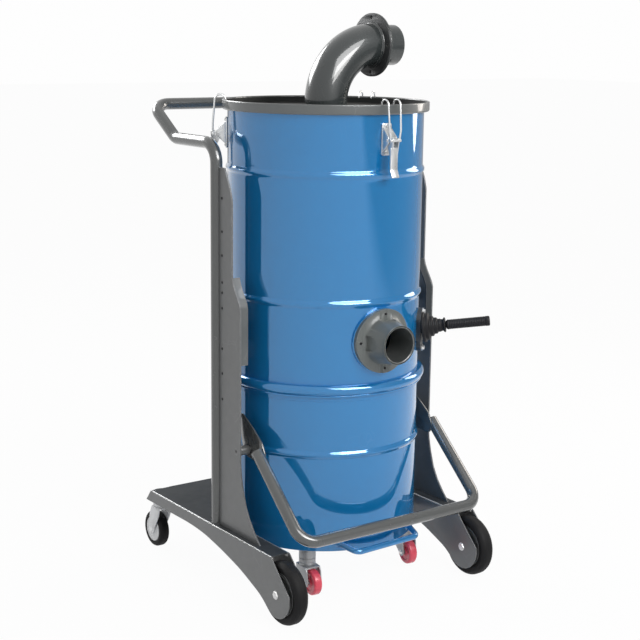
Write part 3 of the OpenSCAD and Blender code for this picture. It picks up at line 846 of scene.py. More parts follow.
@dataclass
class Drum:
    """Chamber and container: sheet shells with rolled beads."""

    shop: Workshop
    radius: float = DRUM_RADIUS
    sheet: float = 0.0025
    joint: float = 0.4963
    top: float = LID_LOW
    foot: float = 0.121
    bead_out: float = 0.0042
    bead_half: float = 0.0085
    bead_gap: float = 1.25
    bead_steps: int = 12
    bead_power: float = 0.8
    ring_out: float = 0.015
    ring_high: float = 0.022
    ring_bulge: float = 0.62
    beads: tuple[float, ...] = (0.704, 0.994)
    low_bead: float = 0.353
    bead_reach: float = 1.2
    row_step: float = 0.0062
    inlet: Triple = (-90.0, INLET_HIGH, 0.0412)
    port: Triple = (-45.0, FLAP_HIGH, 0.0162)
    hole_rim: float = 0.012
    columns: int = 288
    floor_high: float = 0.006
    seam: float = 0.0018
    seam_sunk: float = 0.0008
    chamber_seam: float = 98.0
    container_seam: float = 100.0

    def heights(self, low: float, high: float, beads: Sequence[float]) -> list[Pair]:
        """Outside radius at each height of a wall.

        Args:
            low: foot of the wall.
            high: top of the wall.
            beads: heights of its beads.

        Returns:
            Points of radius and height, upwards.
        """
        count = int((high - low) / self.row_step)
        rows = {low, high, *(low + (high - low) * i / count for i in range(count + 1))}
        for bead in beads:
            rows = {z for z in rows if abs(z - bead) > self.bead_half * self.bead_gap}
            rows.update(bead + self.bead_half * self.bead_reach * k / self.bead_steps
                        for k in range(-self.bead_steps, self.bead_steps + 1))

        def swell(z: float) -> float:
            """How far the beads stand out at a height."""
            shares = (abs(z - bead) / (self.bead_half * self.bead_reach) for bead in beads)
            return sum(self.bead_out * (0.5 + 0.5 * math.cos(math.pi * s)) ** self.bead_power for s in shares if s < 1)

        return [(self.radius + swell(z), z) for z in sorted(rows)]

    def wall(self, rows: Sequence[Pair], holes: Sequence[Triple]) -> Shape:
        """Wall with its inside and its holes.

        Args:
            rows: radius and height upwards.
            holes: compass angle, height and radius of each hole.

        Returns:
            The closed shell.
        """
        shape = bmesh.new()
        turns = [2 * math.pi * step / self.columns for step in range(self.columns)]
        stitch(shape, [[shape.verts.new((*round_spot(r, angle), z)) for r, z in rows] for angle in turns], False)
        for angle, height, radius in holes:
            def flat(spot: Vector) -> Vector:
                """Spot on the wall in the hole's own unrolled coordinates."""
                away = math.atan2(spot.y, spot.x) - math.radians(angle)
                away = (away + math.pi) % (2 * math.pi) - math.pi
                return Vector((self.radius * math.sin(away) if abs(away) < 1.5 else 1.0, spot.z - height))

            gone = [f for f in shape.faces if flat(f.calc_center_median()).length < radius]
            bmesh.ops.delete(shape, geom=gone, context="FACES")
            for vert in {v for e in shape.edges if e.is_boundary for v in e.verts}:
                here = flat(vert.co)
                if here.length < radius + self.hole_rim:
                    here = here.normalized() * radius
                    turn = math.radians(angle) + math.asin(here.x / self.radius)
                    vert.co = (*round_spot(self.radius, turn), height + here.y)

        def thicken(holder: bpy.types.Object) -> None:
            """Adds the sheet's thickness on the inside."""
            thick = holder.modifiers.new("thickness", "SOLIDIFY")
            thick.thickness, thick.offset = self.sheet, -1.0

        mesh = bpy.data.meshes.new("wall")
        shape.to_mesh(mesh)
        shape.free()
        return evaluated(mesh, thicken)

    def ring(self) -> Shape:
        """Rounded clamping ring over the joint.

        Returns:
            The ring.
        """
        mid, bulge, inner = self.joint + self.ring_high / 2, self.ring_high * self.ring_bulge, self.radius - 0.0005
        reach = math.degrees(math.asin(self.ring_high / 2 / bulge))
        profile = arc((self.radius + self.ring_out - bulge, mid), bulge, -reach, reach, 16)
        return turned([(inner, self.joint), *profile, (inner, self.joint + self.ring_high)], self.columns)

    def seams(self, angle: float, spans: Sequence[Pair]) -> list[Shape]:
        """Flush vertical welds on the rear of a wall, one for each span of height."""
        spot = round_spot(self.radius - self.seam_sunk, math.radians(angle))
        return [self.shop.rod([Vector((*spot, low)), Vector((*spot, high))], self.seam, 10) for low, high in spans]

    def build(self) -> None:
        """Makes both shells and what is fixed to them."""
        shop = self.shop
        shop.piece("chamber_shell", BLUE_ENAMEL, "trolley", [
            self.wall(self.heights(self.joint, self.top, self.beads), [self.inlet, self.port]),
            self.ring(), *self.seams(self.chamber_seam, ((0.522, 0.692), (0.716, 0.982), (1.006, 1.122)))],
            ["chamber"], 40)
        shop.piece("hopper_cone", BLUE_ENAMEL, "trolley", [shop.node_copy("hopper")], ["hopper"], 30)
        r, foot, floor = self.radius, self.foot, self.foot + self.floor_high
        rows = self.heights(floor, self.joint - 0.0163, [self.low_bead])
        base = soften([(r, floor), (r, foot), (r - 0.004, foot)], 0.003, 4, False)[::-1]
        lip = [(r + 0.0011, self.joint - 0.0155), (r + 0.0012, self.joint - 0.0003)]
        shop.piece("container_shell", BLUE_ENAMEL, "container", [
            self.wall(base[:-1] + rows + lip, []), turned(soften(box(0.2285, 0.4921, 0.2395, 0.4959), 0.001), 192),
            *self.seams(self.container_seam, ((0.13, 0.34), (0.366, 0.478)))], ["container"], 40)
        dish = soften([(0.0, foot), (r - 0.002, foot), (r - 0.0001, foot + 0.002), (r - 0.0026, floor), (0.0, floor)],
                      0.001, 3, False)
        shop.piece("container_floor", BLUE_ENAMEL, "container", [turned(dish, 192, False)], ["container_base"], 30)
        boss = [(0.0063, 0.098), (0.0192, 0.098), (0.02, 0.0988), (0.02, 0.119), (0.0212, 0.1208), (0.0063, 0.1208)]
        shop.piece("container_bosses", CASTER_METAL, "container", [
            placed(turned(boss, 56), at(CASTER_RING * math.sin(turn), -CASTER_RING * math.cos(turn), 0))
            for turn in (math.radians(a) for a, _ in CASTERS)], [], 30)


@dataclass
class PullHandle:
    """Bent rod at the foot of the container, welded to the wall."""

    shop: Workshop
    high: float = 0.130
    half: float = 0.092
    reach: float = 0.254
    rod: float = 0.007
    bend: float = 0.018
    turn: float = 3.0
    rise: float = 11.0
    splay: float = 16.0
    wall: float = 0.2292
    run: float = 0.060
    steps: int = 36
    fillet: tuple[Pair, ...] = ((0.0060, 0.0), (0.0108, 0.0), (0.0098, 0.0014), (0.0080, 0.0036), (0.0070, 0.0062),
                                (0.0060, 0.0062))

    def to_wall(self, spot: Vector, way: Vector) -> Vector:
        """Slides a spot along a line until it meets the drum's wall.

        Args:
            spot: where it starts.
            way: direction of the line.

        Returns:
            Where it meets the wall.
        """
        a = way.x ** 2 + way.y ** 2
        b = spot.x * way.x + spot.y * way.y
        c = spot.x ** 2 + spot.y ** 2 - self.wall ** 2
        root = math.sqrt(max(b * b - a * c, 0.0))
        return spot + way * ((-b - root) / a)

    def weld(self, foot: Vector, way: Vector) -> Shape:
        """Fillet of weld where a leg of the rod meets the wall.

        Args:
            foot: a spot on the leg's centre line.
            way: direction of the leg towards the wall.

        Returns:
            The fillet.
        """
        across = way.cross(Vector((0, 0, 1))).normalized()
        rise = across.cross(way)
        shape = bmesh.new()
        turns = (2 * math.pi * step / self.steps for step in range(self.steps))
        sides = (across * math.cos(angle) + rise * math.sin(angle) for angle in turns)
        stitch(shape, [[shape.verts.new(self.to_wall(foot + side * radius, way) - way * off)
                        for radius, off in self.fillet] for side in sides])
        return shape

    def build(self) -> None:
        """Makes the handle."""
        lean = (Matrix.Rotation(math.radians(self.turn), 4, "Z") @ Matrix.Translation((0, -self.reach, self.high))
                @ Matrix.Rotation(math.radians(self.rise), 4, "X"))
        away = math.radians(self.splay)
        tip = (self.half + self.run * math.sin(away), self.run * math.cos(away), 0)
        bar = placed(self.shop.rod(route([(-tip[0], tip[1], 0), (-self.half, 0, 0), (self.half, 0, 0), tip], self.bend),
                                   self.rod, 28), lean)
        shapes = [bar]
        for side in (-1, 1):
            way = (lean.to_3x3() @ Vector((side * math.sin(away), math.cos(away), 0))).normalized()
            end = lean @ Vector((side * tip[0], tip[1], 0))
            for vert in bar.verts:
                if (vert.co - end).length < self.rod * 1.5:
                    vert.co = self.to_wall(vert.co, way)
            shapes.append(self.weld(end, way))
        self.shop.piece("pull_handle", BLUE_ENAMEL, "container", shapes, ["container_handle"], 40, True)


@dataclass
class Lid:
    """Dished lid with a tall rim."""

    shop: Workshop
    radius: float = 0.2425
    low: float = LID_LOW
    floor: float = 0.004
    high: float = 0.0225
    rim: float = 0.005
    hole: float = 0.0495

    def build(self) -> None:
        """Makes the lid."""
        top, floor, inner, r = self.low + self.high, self.low + self.floor, self.radius - self.rim, self.radius
        crest = arc((r - self.rim / 2, top - self.rim / 2), self.rim / 2, 0, 180, 12)
        profile = soften([
            (self.hole, self.low), (r - 0.002, self.low), (r, self.low + 0.003), *crest, (inner, floor + 0.002),
            (inner - 0.006, floor), (0.150, floor), (0.146, floor + 0.002), (0.134, floor + 0.002), (0.130, floor),
            (self.hole, floor)], 0.0014, 4)
        self.shop.piece("lid_pan", DARK_ENAMEL, "trolley", [turned(profile, 288)], ["lid"], 35)
        # Thin near-black skin over the inside of the rim and the pan: painted shade inside the lid.
        skin = [(inner, top - 0.0035), (inner - 0.0004, top - 0.0037), (inner - 0.0004, floor + 0.0028),
                (inner - 0.0062, floor + 0.0004), (0.1502, floor + 0.0004), (0.1462, floor + 0.0024),
                (0.1338, floor + 0.0024), (0.1298, floor + 0.0004), (0.0560, floor + 0.0004), (0.0556, floor - 0.0004),
                (0.129, floor - 0.0004), (0.1335, floor + 0.0014), (0.1465, floor + 0.0014), (0.151, floor - 0.0004),
                (inner - 0.0055, floor - 0.0004), (inner + 0.0006, floor + 0.0022)]
        self.shop.piece("lid_painted_shade", LID_SHADE, "trolley", [turned(skin, 192)], [], 35, True)


@dataclass
class Outlet:
    """Outlet bend, its pair of flanges and the hose spigot."""

    shop: Workshop
    tube: float = 0.050
    wall: float = 0.0025
    bend: float = 0.133
    low: float = 1.131
    turn_low: float = 1.143
    flange: float = 0.074
    thick: float = 0.004
    spigot: float = 0.0475
    reach: float = 0.057
    ring: float = 0.064
    bolt: float = 0.0045
    steps: int = 48

    def disc(self, x: float, bore: float) -> Shape:
        """One flange with its bore and four holes, facing X.

        Args:
            x: middle of its thickness.
            bore: radius of the bore.

        Returns:
            The flange.
        """
        spots = (round_spot(self.ring, math.radians(90 * quarter)) for quarter in range(4))
        holes = [(0.0, 0.0, bore), *((*spot, self.bolt) for spot in spots)]
        disc = plate(arc((0, 0), self.flange - 0.0005, 0, 357.5, 143), self.thick, 0.0005, holes)
        return placed(disc, at(x, 0, self.turn_low + self.bend, Axis.X))

    def build(self) -> None:
        """Makes bend, flanges and spigot."""
        shop, duct = self.shop, self.turn_low + self.bend
        turns = (round_spot(self.bend, math.pi / 2 * step / self.steps) for step in range(1, self.steps + 1))
        line = [Vector((0, 0, self.low)), Vector((0, 0, self.turn_low)),
                *(Vector((self.bend - x, 0, self.turn_low + z)) for x, z in turns)]
        foot = turned([(0.0495, 1.1308), (0.0545, 1.1308), (0.0535, 1.1328), (0.0515, 1.1345), (0.0497, 1.1362)])
        neck = placed(turned([(0.0495, 0.0), (0.0535, 0.0), (0.0522, -0.0028), (0.0497, -0.0045)]),
                      at(self.bend - self.thick, 0, duct, Axis.X))
        shop.piece("outlet_bend", DUCT_ENAMEL, "trolley", [pipe(line, self.tube, self.wall), foot, neck], ["elbow"],
                   40, True)
        shop.piece("bend_flange", FLANGE_PAINT, "trolley", [self.disc(self.bend - self.thick / 2, self.tube - 0.001)],
                   [], 30)
        start = self.bend + 0.0004
        end = self.bend + self.thick + self.reach
        straight = [Vector((start + (end - start) * i / 8, 0, duct)) for i in range(9)]
        collar = placed(turned(soften([(0.0472, 0.0), (0.0508, 0.0), (0.0508, 0.0035), (0.0472, 0.006)], 0.0012)),
                        at(self.bend + self.thick, 0, duct, Axis.X))
        rolled = placed(turned(arc((self.spigot - 0.0018, end - 0.0018), 0.0018, 0, 330, 11)),
                        at(0, 0, duct, Axis.X))
        shop.piece("hose_spigot", DUCT_ENAMEL, "trolley", [
            pipe(straight, self.spigot, self.wall), collar, rolled,
            self.disc(self.bend + self.thick / 2 + 0.0001, self.spigot - 0.001)], ["spigot"], 40, True)


@dataclass
class Inlet:
    """Cast inlet socket on its pad, with its four screws."""

    shop: Workshop
    high: float = INLET_HIGH
    mouth: float = 0.297
    outer: float = 0.044
    ring: float = 0.063
    pad: float = 0.245

    def build(self) -> None:
        """Makes pad, socket and screws."""
        shop, mouth = self.shop, at(0, -self.mouth, self.high) @ TO_REAR
        shop.piece("inlet_seat", BLUE_ENAMEL, "trolley", [shop.node_copy("inlet_pad")], ["inlet_pad"], 30)
        lip = placed(turned(soften(box(self.outer - 0.003, 0.0, self.outer + 0.0008, 0.003), 0.001)), mouth)
        shop.piece("inlet_casting", CAST_ENAMEL, "trolley", [shop.node_copy("inlet_socket"), lip],
                   ["inlet_socket"], 30)
        sleeve = placed(turned([(0.0396, 0.0012), (0.0408, 0.0004), (0.0408, 0.084), (0.0396, 0.084)]), mouth)
        shop.piece("inlet_sleeve", DARK_ENAMEL, "trolley", [sleeve], [], 40, True)
        heads = []
        for quarter in range(4):
            x, rise = round_spot(self.ring, math.radians(90 * quarter))
            depth = -math.sqrt(self.pad ** 2 - x * x) + 0.0022
            heads.append(shop.studs(Layout.POINTS, at(x, depth, self.high + rise) @ TO_FRONT, 0.0031, 0.003,
                                    sides=12, washer=0.9))
        shop.piece("inlet_screws", RUBBER, "trolley", heads)


@dataclass
class FlapControl:
    """Plate, bellows boot and grip lever of the flap."""

    shop: Workshop
    high: float = FLAP_HIGH
    radius: float = DRUM_RADIUS
    turn: float = 45.0
    tilt: float = 8.0
    reach: float = 0.162
    thick: float = 0.009
    grooves: int = 22
    first_groove: float = 0.065
    groove_step: float = 0.004

    def seat(self) -> Matrix:
        """Place at the wall, with Z pointing out of it."""
        return (Matrix.Rotation(math.radians(self.turn), 4, "Z") @ Matrix.Translation((0, 0, self.high))
                @ TO_FRONT @ Matrix.Translation((0, 0, self.radius + self.thick)))

    def build(self) -> None:
        """Makes plate, bolts, boot and grip."""
        shop, seat = self.shop, self.seat()
        shop.piece("flap_mount", FLANGE_PAINT, "trolley", [shop.node_copy("flap_plate")], ["flap_plate"], 30)
        bolts = shop.studs(Layout.ROW, seat @ Matrix.Translation((0, -0.050, 0.0018)), 0.0062, 0.0055, 2, 0.088)
        shop.piece("flap_bolts", ZINC, "trolley", [bolts], sharp=25)
        lean = seat @ Matrix.Rotation(math.radians(-self.tilt), 4, "X")
        skin = soften([
            (0.0135, 0.003), (0.0375, 0.0025), (0.0375, 0.0085), (0.0325, 0.0105), (0.0325, 0.0175), (0.0265, 0.020),
            (0.0245, 0.0215), (0.0245, 0.0275), (0.0205, 0.0295), (0.0195, 0.031), (0.0195, 0.0365), (0.0165, 0.0385),
            (0.0155, 0.040), (0.0158, 0.045), (0.0142, 0.0465), (0.0142, 0.052), (0.0178, 0.0535), (0.0178, 0.0567),
            (0.0085, 0.0567), (0.0085, 0.053), (0.0125, 0.052)], 0.0014)
        boot = shop.piece("rubber_boot", RUBBER, FREE, [placed(turned(skin), lean)], ["flap_boot"], 50, True)
        low, high = (tuple(lean @ Vector((0, 0, z)) + shop.shift) for z in (0.009, 0.047))
        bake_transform(boot)
        cross = placed(pin(0.0034, 0.0150, 24, 0.0006, 2, False), seat @ at(0, 0, -self.thick / 2, Axis.X))
        grip = [(0.0, -0.0128), (0.0072, -0.0128), (0.0078, -0.012), (0.0078, 0.058), (0.0105, 0.060), (0.0118, 0.0625)]
        for index in range(self.grooves):
            low = self.first_groove + index * self.groove_step
            grip += [(0.0118, low), (0.0112, low + 0.0008), (0.0112, low + 0.0026), (0.0118, low + 0.0034)]
        grip += [(0.0119, self.reach - 0.003), (0.0112, self.reach - 0.0006), (0.0095, self.reach), (0.0, self.reach)]
        shop.piece("grip_lever", RUBBER, "flap_lever", [placed(turned(grip, 48, False), lean), cross],
                   ["flap_lever"], 40, True)


@dataclass
class Latch:
    """One over-centre latch: base, lever and wire bail."""

    shop: Workshop
    number: int
    turn: float
    wall: float = DRUM_RADIUS
    pivot: Pair = (0.250, 1.072)
    bail_at: Pair = (0.264, 1.072)
    half: float = 0.0165
    wire: float = 0.002
    eye: float = 0.0035
    base_sheet: float = 0.0036
    cheek_sheet: float = 0.0026
    lever_sheet: float = 0.0022
    hook: float = 0.0125
    hook_at: Pair = (0.2468, 1.148)

    def spun(self, shape: Shape) -> Shape:
        """Turns a shape from the front to this latch's place."""
        return placed(shape, Matrix.Rotation(math.radians(self.turn), 4, "Z"))

    def cheek(self, x: float, outline: Sequence[Pair], thick: float) -> Shape:
        """Upright sheet across X with its outline in radius and height."""
        flat = soften([(-r, z) for r, z in outline], 0.003)
        return placed(plate(flat, thick, 0.0004), at(x, 0, 0, Axis.X))

    def build(self) -> None:
        """Makes the base on the wall, the lever and the bail."""
        shop, number = self.shop, self.number
        pr, pz = self.pivot
        back = placed(plate(soften(box(-0.0125, 1.038, 0.0125, 1.108), 0.004), self.base_sheet),
                      at(0, -self.wall - 0.0021, 0) @ TO_FRONT)
        cheeks = [self.cheek(side * 0.011, [(0.233, 1.046), (0.233, 1.100), (pr + 0.0055, pz + 0.006),
                                            (pr + 0.0055, pz - 0.006)], self.cheek_sheet) for side in (-1, 1)]
        pivot = placed(pin(0.003, 0.0145, 20, 0.0006), at(0, -pr, pz, Axis.X))
        rivets = shop.studs(Layout.ROW, at(0, -self.wall - 0.0045, 1.0435) @ TO_FRONT, 0.0032, 0.0022, 2, 0.0595, 16,
                            1.15)
        base = [self.spun(s) for s in (back, *cheeks, pivot, rivets)]
        shop.piece(f"latch_base_{number}", ZINC, "trolley", base, ["latch_bases"] if number == 1 else [], 30)
        sides = [self.cheek(side * 0.0075, [(0.2445, pz + 0.0045), (0.2445, pz - 0.0045), (0.254, pz - 0.025),
                                            (0.258, 1.030), (0.262, 1.030), (0.2685, pz - 0.004),
                                            (0.2685, pz + 0.0045), (0.264, pz + 0.0055)], self.lever_sheet)
                 for side in (-1, 1)]
        blade = [(0.2590, 1.056), (0.2590, 1.006), (0.2665, 0.9905), (0.2692, 0.9912), (0.2620, 1.0065),
                 (0.2620, 1.056)]
        tongue = placed(plate(soften([(-r, z) for r, z in blade], 0.004, 4), 0.0196, 0.0008),
                        at(0, 0, 0, Axis.X))
        y, z, wide = -self.bail_at[0], self.bail_at[1], self.half
        hook_y, hook_z = -self.hook_at[0], self.hook_at[1]
        bail_pin = placed(pin(0.0034, 0.0112, 18), at(0, y, z, Axis.X))
        shop.piece(f"latch_handle_{number}", ZINC, f"latch_lever_{number}",
                   [self.spun(s) for s in (*sides, tongue, bail_pin)], [f"latch_lever_{number}"], 30)
        wires = []
        tilt = math.atan2(hook_y - y, hook_z - z) - math.asin(self.hook / math.hypot(hook_y - y, hook_z - z))
        turns = [round_spot(self.hook, math.pi - tilt - (math.pi - tilt) * k / 16) for k in range(17)]
        for side in (-1, 1):
            foot = side * (wide - self.eye)
            line = [Vector((foot, y, z)), Vector((foot, y, z + 0.006)), Vector((side * (wide - 0.001), y, z + 0.022)),
                    *(Vector((side * wide, hook_y + out, hook_z + up)) for out, up in turns),
                    Vector((side * wide, hook_y + self.hook, hook_z - 0.003))]
            wires += [shop.rod(line, self.wire, 16), placed(pin(self.eye, 0.0022, 16), at(foot, y, z, Axis.X))]
        ends = [Vector((side * (wide - self.eye), y, z)) for side in (-1, 1)]
        wires.append(shop.rod(ends, self.wire, 16))
        shop.piece(f"latch_wire_{number}", ZINC, f"latch_bail_{number}", [self.spun(s) for s in wires],
                   [f"latch_bail_{number}"], 40)


@dataclass
class Trolley:
    """Legs, platform, uprights, brackets and the push handle."""

    shop: Workshop
    leg_x: float = LEG_X
    leg_w: float = 0.052
    leg_z: float = 0.156
    sheet: float = 0.003
    axle: Pair = AXLE
    axle_bore: float = 0.0062
    post_x: float = 0.280
    post_r: float = 0.014
    post_y: float = 0.031
    thick: float = 0.004
    fold: float = 0.0043
    deck_gap: float = 0.243
    deck_front: float = 0.020
    front: float = -0.226
    back: float = 0.3276
    nose: float = 0.053
    bend: float = 0.045
    screw_bore: float = 0.0026
    holes: tuple[Pair, ...] = ((0.004, 0.934), (0.004, 0.858), (0.004, 0.803), (0.004, 0.741), (0.004, 0.717),
                               (0.004, 0.681), (0.004, 0.586), (0.004, 0.527), (0.004, 0.466))
    edge: tuple[Pair, ...] = ((-0.037, 0.756), (-0.042, 0.742), (-0.050, 0.728), (-0.060, 0.714), (-0.068, 0.702),
                              (-0.072, 0.690))

    def cheek(self) -> list[Pair]:
        """Side outline of a leg, Y and height.

        Returns:
            The outline.
        """
        front = arc(self.axle, self.nose, -63, -192, 30)
        corners = [(0.328, 0.156), (0.350, 0.127)]
        under = soften([(0.350, 0.127), (0.130, 0.128), (0.060, 0.123), (-0.020, 0.107), (-0.102, 0.086),
                        (-0.188, 0.053), front[0]], 0.03, 5, False)[1:-1]
        top = soften([front[-1], (-0.227, 0.156), (0.328, 0.156)], 0.006, 4, False)[1:-1]
        return [(y, min(z, 0.1545)) for y, z in corners + under + front + top]

    def leg(self, side: int, name: str) -> None:
        """Makes one leg.

        Args:
            side: -1 on the left, 1 on the right.
            name: "left" or "right".
        """
        shop, half, middle = self.shop, self.leg_w / 2, at(side * self.leg_x, 0, 0, Axis.X)
        shapes = []
        for x in (self.leg_x - half + self.sheet / 2, self.leg_x + half - self.sheet / 2):
            sheet = plate(self.cheek(), self.sheet, 0.0008, [(*self.axle, self.axle_bore)])
            shapes.append(placed(sheet, at(side * x, 0, 0, Axis.X)))
        seat = turned(soften(box(0, 0.130, 0.022, 0.153), 0.001), 48)
        shapes.append(placed(seat, at(side * self.leg_x, STEM_Y, 0)))
        tail = [(0.3265, 0.1545), (0.3285, 0.1545), (0.3500, 0.1272), (0.3470, 0.1272)]
        shapes.append(placed(plate(tail, self.leg_w - 2 * self.sheet + 0.0004, 0.0004), middle))
        # Pale rods along both top folds of the leg: a painted highlight along the bends.
        z = self.leg_z - self.fold
        runs = ((self.leg_x + half - self.fold, 0.3268), (self.leg_x - half + self.fold, 0.022))
        folds = [shop.rod([Vector((side * x, -0.2264, z)), Vector((side * x, end, z))], self.fold) for x, end in runs]
        shop.piece(f"leg_fold_highlight_{name}", FOLD_HIGHLIGHT_PAINT, "trolley", folds, [], 40, True)
        shop.piece(f"leg_channel_{name}", FRAME_PAINT, "trolley", shapes, [f"leg_{name}"], 20)
        hub = at(side * self.leg_x, *self.axle, Axis.X)
        half_pin = [(0, -0.0287), (0.0056, -0.0287), (0.006, -0.0277)]
        nuts = [placed(turned(soften(mirrored(half_pin), 0.0008, 2, False), 32, False), hub)]
        for turn in (0, math.pi):
            nuts.append(shop.studs(Layout.POINTS, hub @ Matrix.Rotation(turn, 4, "X"), 0.0098, 0.0028, washer=1.02,
                                   spots=[(0, 0, 0.0258)]))
        shop.piece(f"axle_pin_{name}", NUT_METAL, "trolley", nuts, [f"axle_{name}"], 25)

    def deck(self) -> None:
        """Makes the platform behind the container."""
        inner, inset = self.leg_x - self.leg_w / 2, self.fold + 0.0001
        fold, outer = inner + inset, self.leg_x + self.leg_w / 2 - inset
        cut = math.degrees(math.asin(self.deck_front / self.deck_gap))
        half = [(outer, self.back), (outer, self.front), (fold, self.front), (fold, self.deck_front)]
        outline = [*half, *arc((0, 0), self.deck_gap, cut, 180 - cut, 60), *((-x, y) for x, y in reversed(half))]
        top = placed(plate(outline, self.sheet), at(0, 0, self.leg_z - self.sheet / 2))
        flange = placed(plate(soften(box(-inner, 0.127, inner, 0.156), 0.002), self.sheet),
                        at(0, 0.3265, 0) @ TO_FRONT)
        # The platform plate takes the darker deck grey: painted shade on its top.
        self.shop.piece("deck_plate", DECK_SHADE_PAINT, "trolley", [top, flange], ["platform"], 20)

    def upright(self, side: int, name: str) -> None:
        """Makes one upright plate with its returned edge.

        Args:
            side: -1 on the left, 1 on the right.
            name: "left" or "right".
        """
        shop, y0, foot = self.shop, self.post_y - self.post_r + 0.0002, self.leg_z + 0.0005
        outline = [(y0, foot), (y0, 1.0025), (-0.006, 1.0025), (-0.030, 0.955), (-0.037, 0.930), *self.edge,
                   (-0.072, 0.330), (-0.075, 0.302), (-0.082, 0.271), (-0.095, 0.232), (-0.112, 0.203),
                   (-0.134, 0.177), (-0.155, foot)]
        holes = [(y, z, self.screw_bore) for y, z in self.holes] + [(*LIFT_PIVOT, LIFT_BORE)]
        sheet = placed(plate(outline, self.thick, 0.0007, holes), at(side * self.post_x, 0, 0, Axis.X))
        inner = [(-0.072, 0.560), (-0.069, 0.560), (-0.069, 0.689), (-0.0654, 0.700), (-0.0574, 0.7124),
                 (-0.0475, 0.7265), (-0.0394, 0.7406), (-0.0342, 0.755)]
        lip = placed(plate([*self.edge, *inner], 0.0190, 0.0005), at(side * 0.2695, 0, 0, Axis.X))
        shop.piece(f"upright_plate_{name}", FRAME_PAINT, "trolley", [sheet], [f"upright_{name}"], 20)
        # Both returned edges are darker than the plate as painted shade: the lid's enamel on the left, the shaded deck
        # grey on the right.
        shop.piece(f"upright_lip_{name}", DARK_ENAMEL if side < 0 else DECK_SHADE_PAINT, "trolley", [lip], [], 20)
        # Thin black discs over the small holes: painted shade in the holes.
        face = at(side * (self.post_x + self.thick / 2 - 0.0002), 0, 0, Axis.X) @ Matrix.Rotation(
            0 if side > 0 else math.pi, 4, "X")
        heads = shop.studs(Layout.POINTS, face, 0.0033, 0.0010, sides=16, washer=0.9,
                           spots=[(y, side * z, 0) for y, z in self.holes])
        shop.piece(f"upright_hole_shade_{name}", RUBBER, "trolley", [heads], [], 25)

    def handle(self) -> None:
        """Makes the posts, arms and bar, one bent tube."""
        half = [(self.post_x, y, z) for y, z in ((self.post_y, self.leg_z), (self.post_y, 1.055), (0.21633, 1.055),
                                                 (0.33028, 1.129))]
        line = route([*half, *((-x, y, z) for x, y, z in reversed(half))], self.bend, 20)
        collars = [placed(turned([(0.0138, 0.0), (0.0165, 0.0), (0.0155, 0.0016), (0.0142, 0.0028)], 40),
                          at(side * self.post_x, self.post_y, self.leg_z)) for side in (-1, 1)]
        self.shop.piece("push_tube", TUBE_PAINT, "trolley", [self.shop.rod(line, self.post_r, 48)], ["push_handle"],
                        40, True)
        self.shop.piece("post_welds", FLANGE_PAINT, "trolley", collars, [], 40, True)

    def build(self) -> None:
        """Makes the whole trolley frame."""
        for side, name in SIDES:
            self.leg(side, name)
            self.upright(side, name)
        self.deck()
        self.handle()
        self.shop.piece("chamber_brackets", FRAME_PAINT, "trolley", [self.shop.node_copy("chamber_mounts")],
                        ["chamber_mounts"], 30)


@dataclass
class LiftLever:
    """Bent lever that lowers the container, with its pivot pins."""

    shop: Workshop
    half: float = 0.258
    tube: float = 0.014
    sheet: float = 0.004
    bend: float = 0.042
    pivot: Pair = LIFT_PIVOT

    def build(self) -> None:
        """Makes the tube, its end plates and the pins."""
        shop, x, (foot, bar) = self.shop, self.half, ((-0.108, 0.3616), (-0.294, 0.197))
        line = route([(x, *foot), (x, *bar), (-x, *bar), (-x, *foot)], self.bend, 18)
        shapes = [shop.rod(line, self.tube, 44)]
        outline = soften([(-0.125, 0.356), (-0.112, 0.380), (-0.072, 0.409), (-0.026, 0.434), (-0.014, 0.428),
                          (-0.030, 0.362), (-0.046, 0.338), (-0.072, 0.334), (-0.118, 0.332)], 0.006, 4)
        for side in (-1, 1):
            cheek = plate(outline, self.sheet, holes=[(*self.pivot, LIFT_BORE)])
            shapes.append(placed(cheek, at(side * (x - self.tube + self.sheet / 2), 0, 0, Axis.X)))
        shop.piece("lever_tube", TUBE_PAINT, "lift_lever", shapes, ["lift_lever"], 35, True)
        stub = soften([(0, 0.2425), (0.0078, 0.2425), (0.0078, 0.2495), (0.0108, 0.2495), (0.0108, 0.2775),
                       (0.0078, 0.2778), (0.0078, 0.2818), (0.0040, 0.2818), (0.0030, 0.2790), (0, 0.2790)],
                      0.0006, 3, False)
        shop.piece("lever_pins", FRAME_PAINT, "trolley", [
            placed(turned([(r, side * z) for r, z in stub], 40, False), at(0, *self.pivot, Axis.X))
            for side in (-1, 1)], ["lift_pins"], 30, True)


@dataclass
class FrontWheel:
    """Solid rubber tyre on a grey disc."""

    shop: Workshop
    side: int
    name: str
    centre: Triple = (LEG_X, *AXLE)
    radius: float = 0.073
    half: float = 0.0175

    def build(self) -> None:
        """Makes tyre and disc."""
        shop, r, h, body = self.shop, self.radius, self.half, f"front_wheel_{self.name}"
        place = at(self.side * self.centre[0], self.centre[1], self.centre[2], Axis.X)
        tread = [(0.050, 0.013), (0.055, 0.0158), (0.0635, h), (0.0655, h), (0.0705, h - 0.005),
                 (r - 0.0002, h - 0.0105)]
        shop.wheel(f"front_tyre_{self.name}", TYRE, body, tread, 0.0016, 144, place, [f"tyre_{self.name}"], 40)
        disc = [(0.0062, 0.0170), (0.014, 0.0170), (0.0155, 0.0155), (0.0165, 0.0110), (0.040, 0.0095),
                (0.044, 0.0135), (0.0502, 0.0138)]
        shop.wheel(f"front_disc_{self.name}", FRAME_PAINT, body, disc, 0.0015, 96, place)


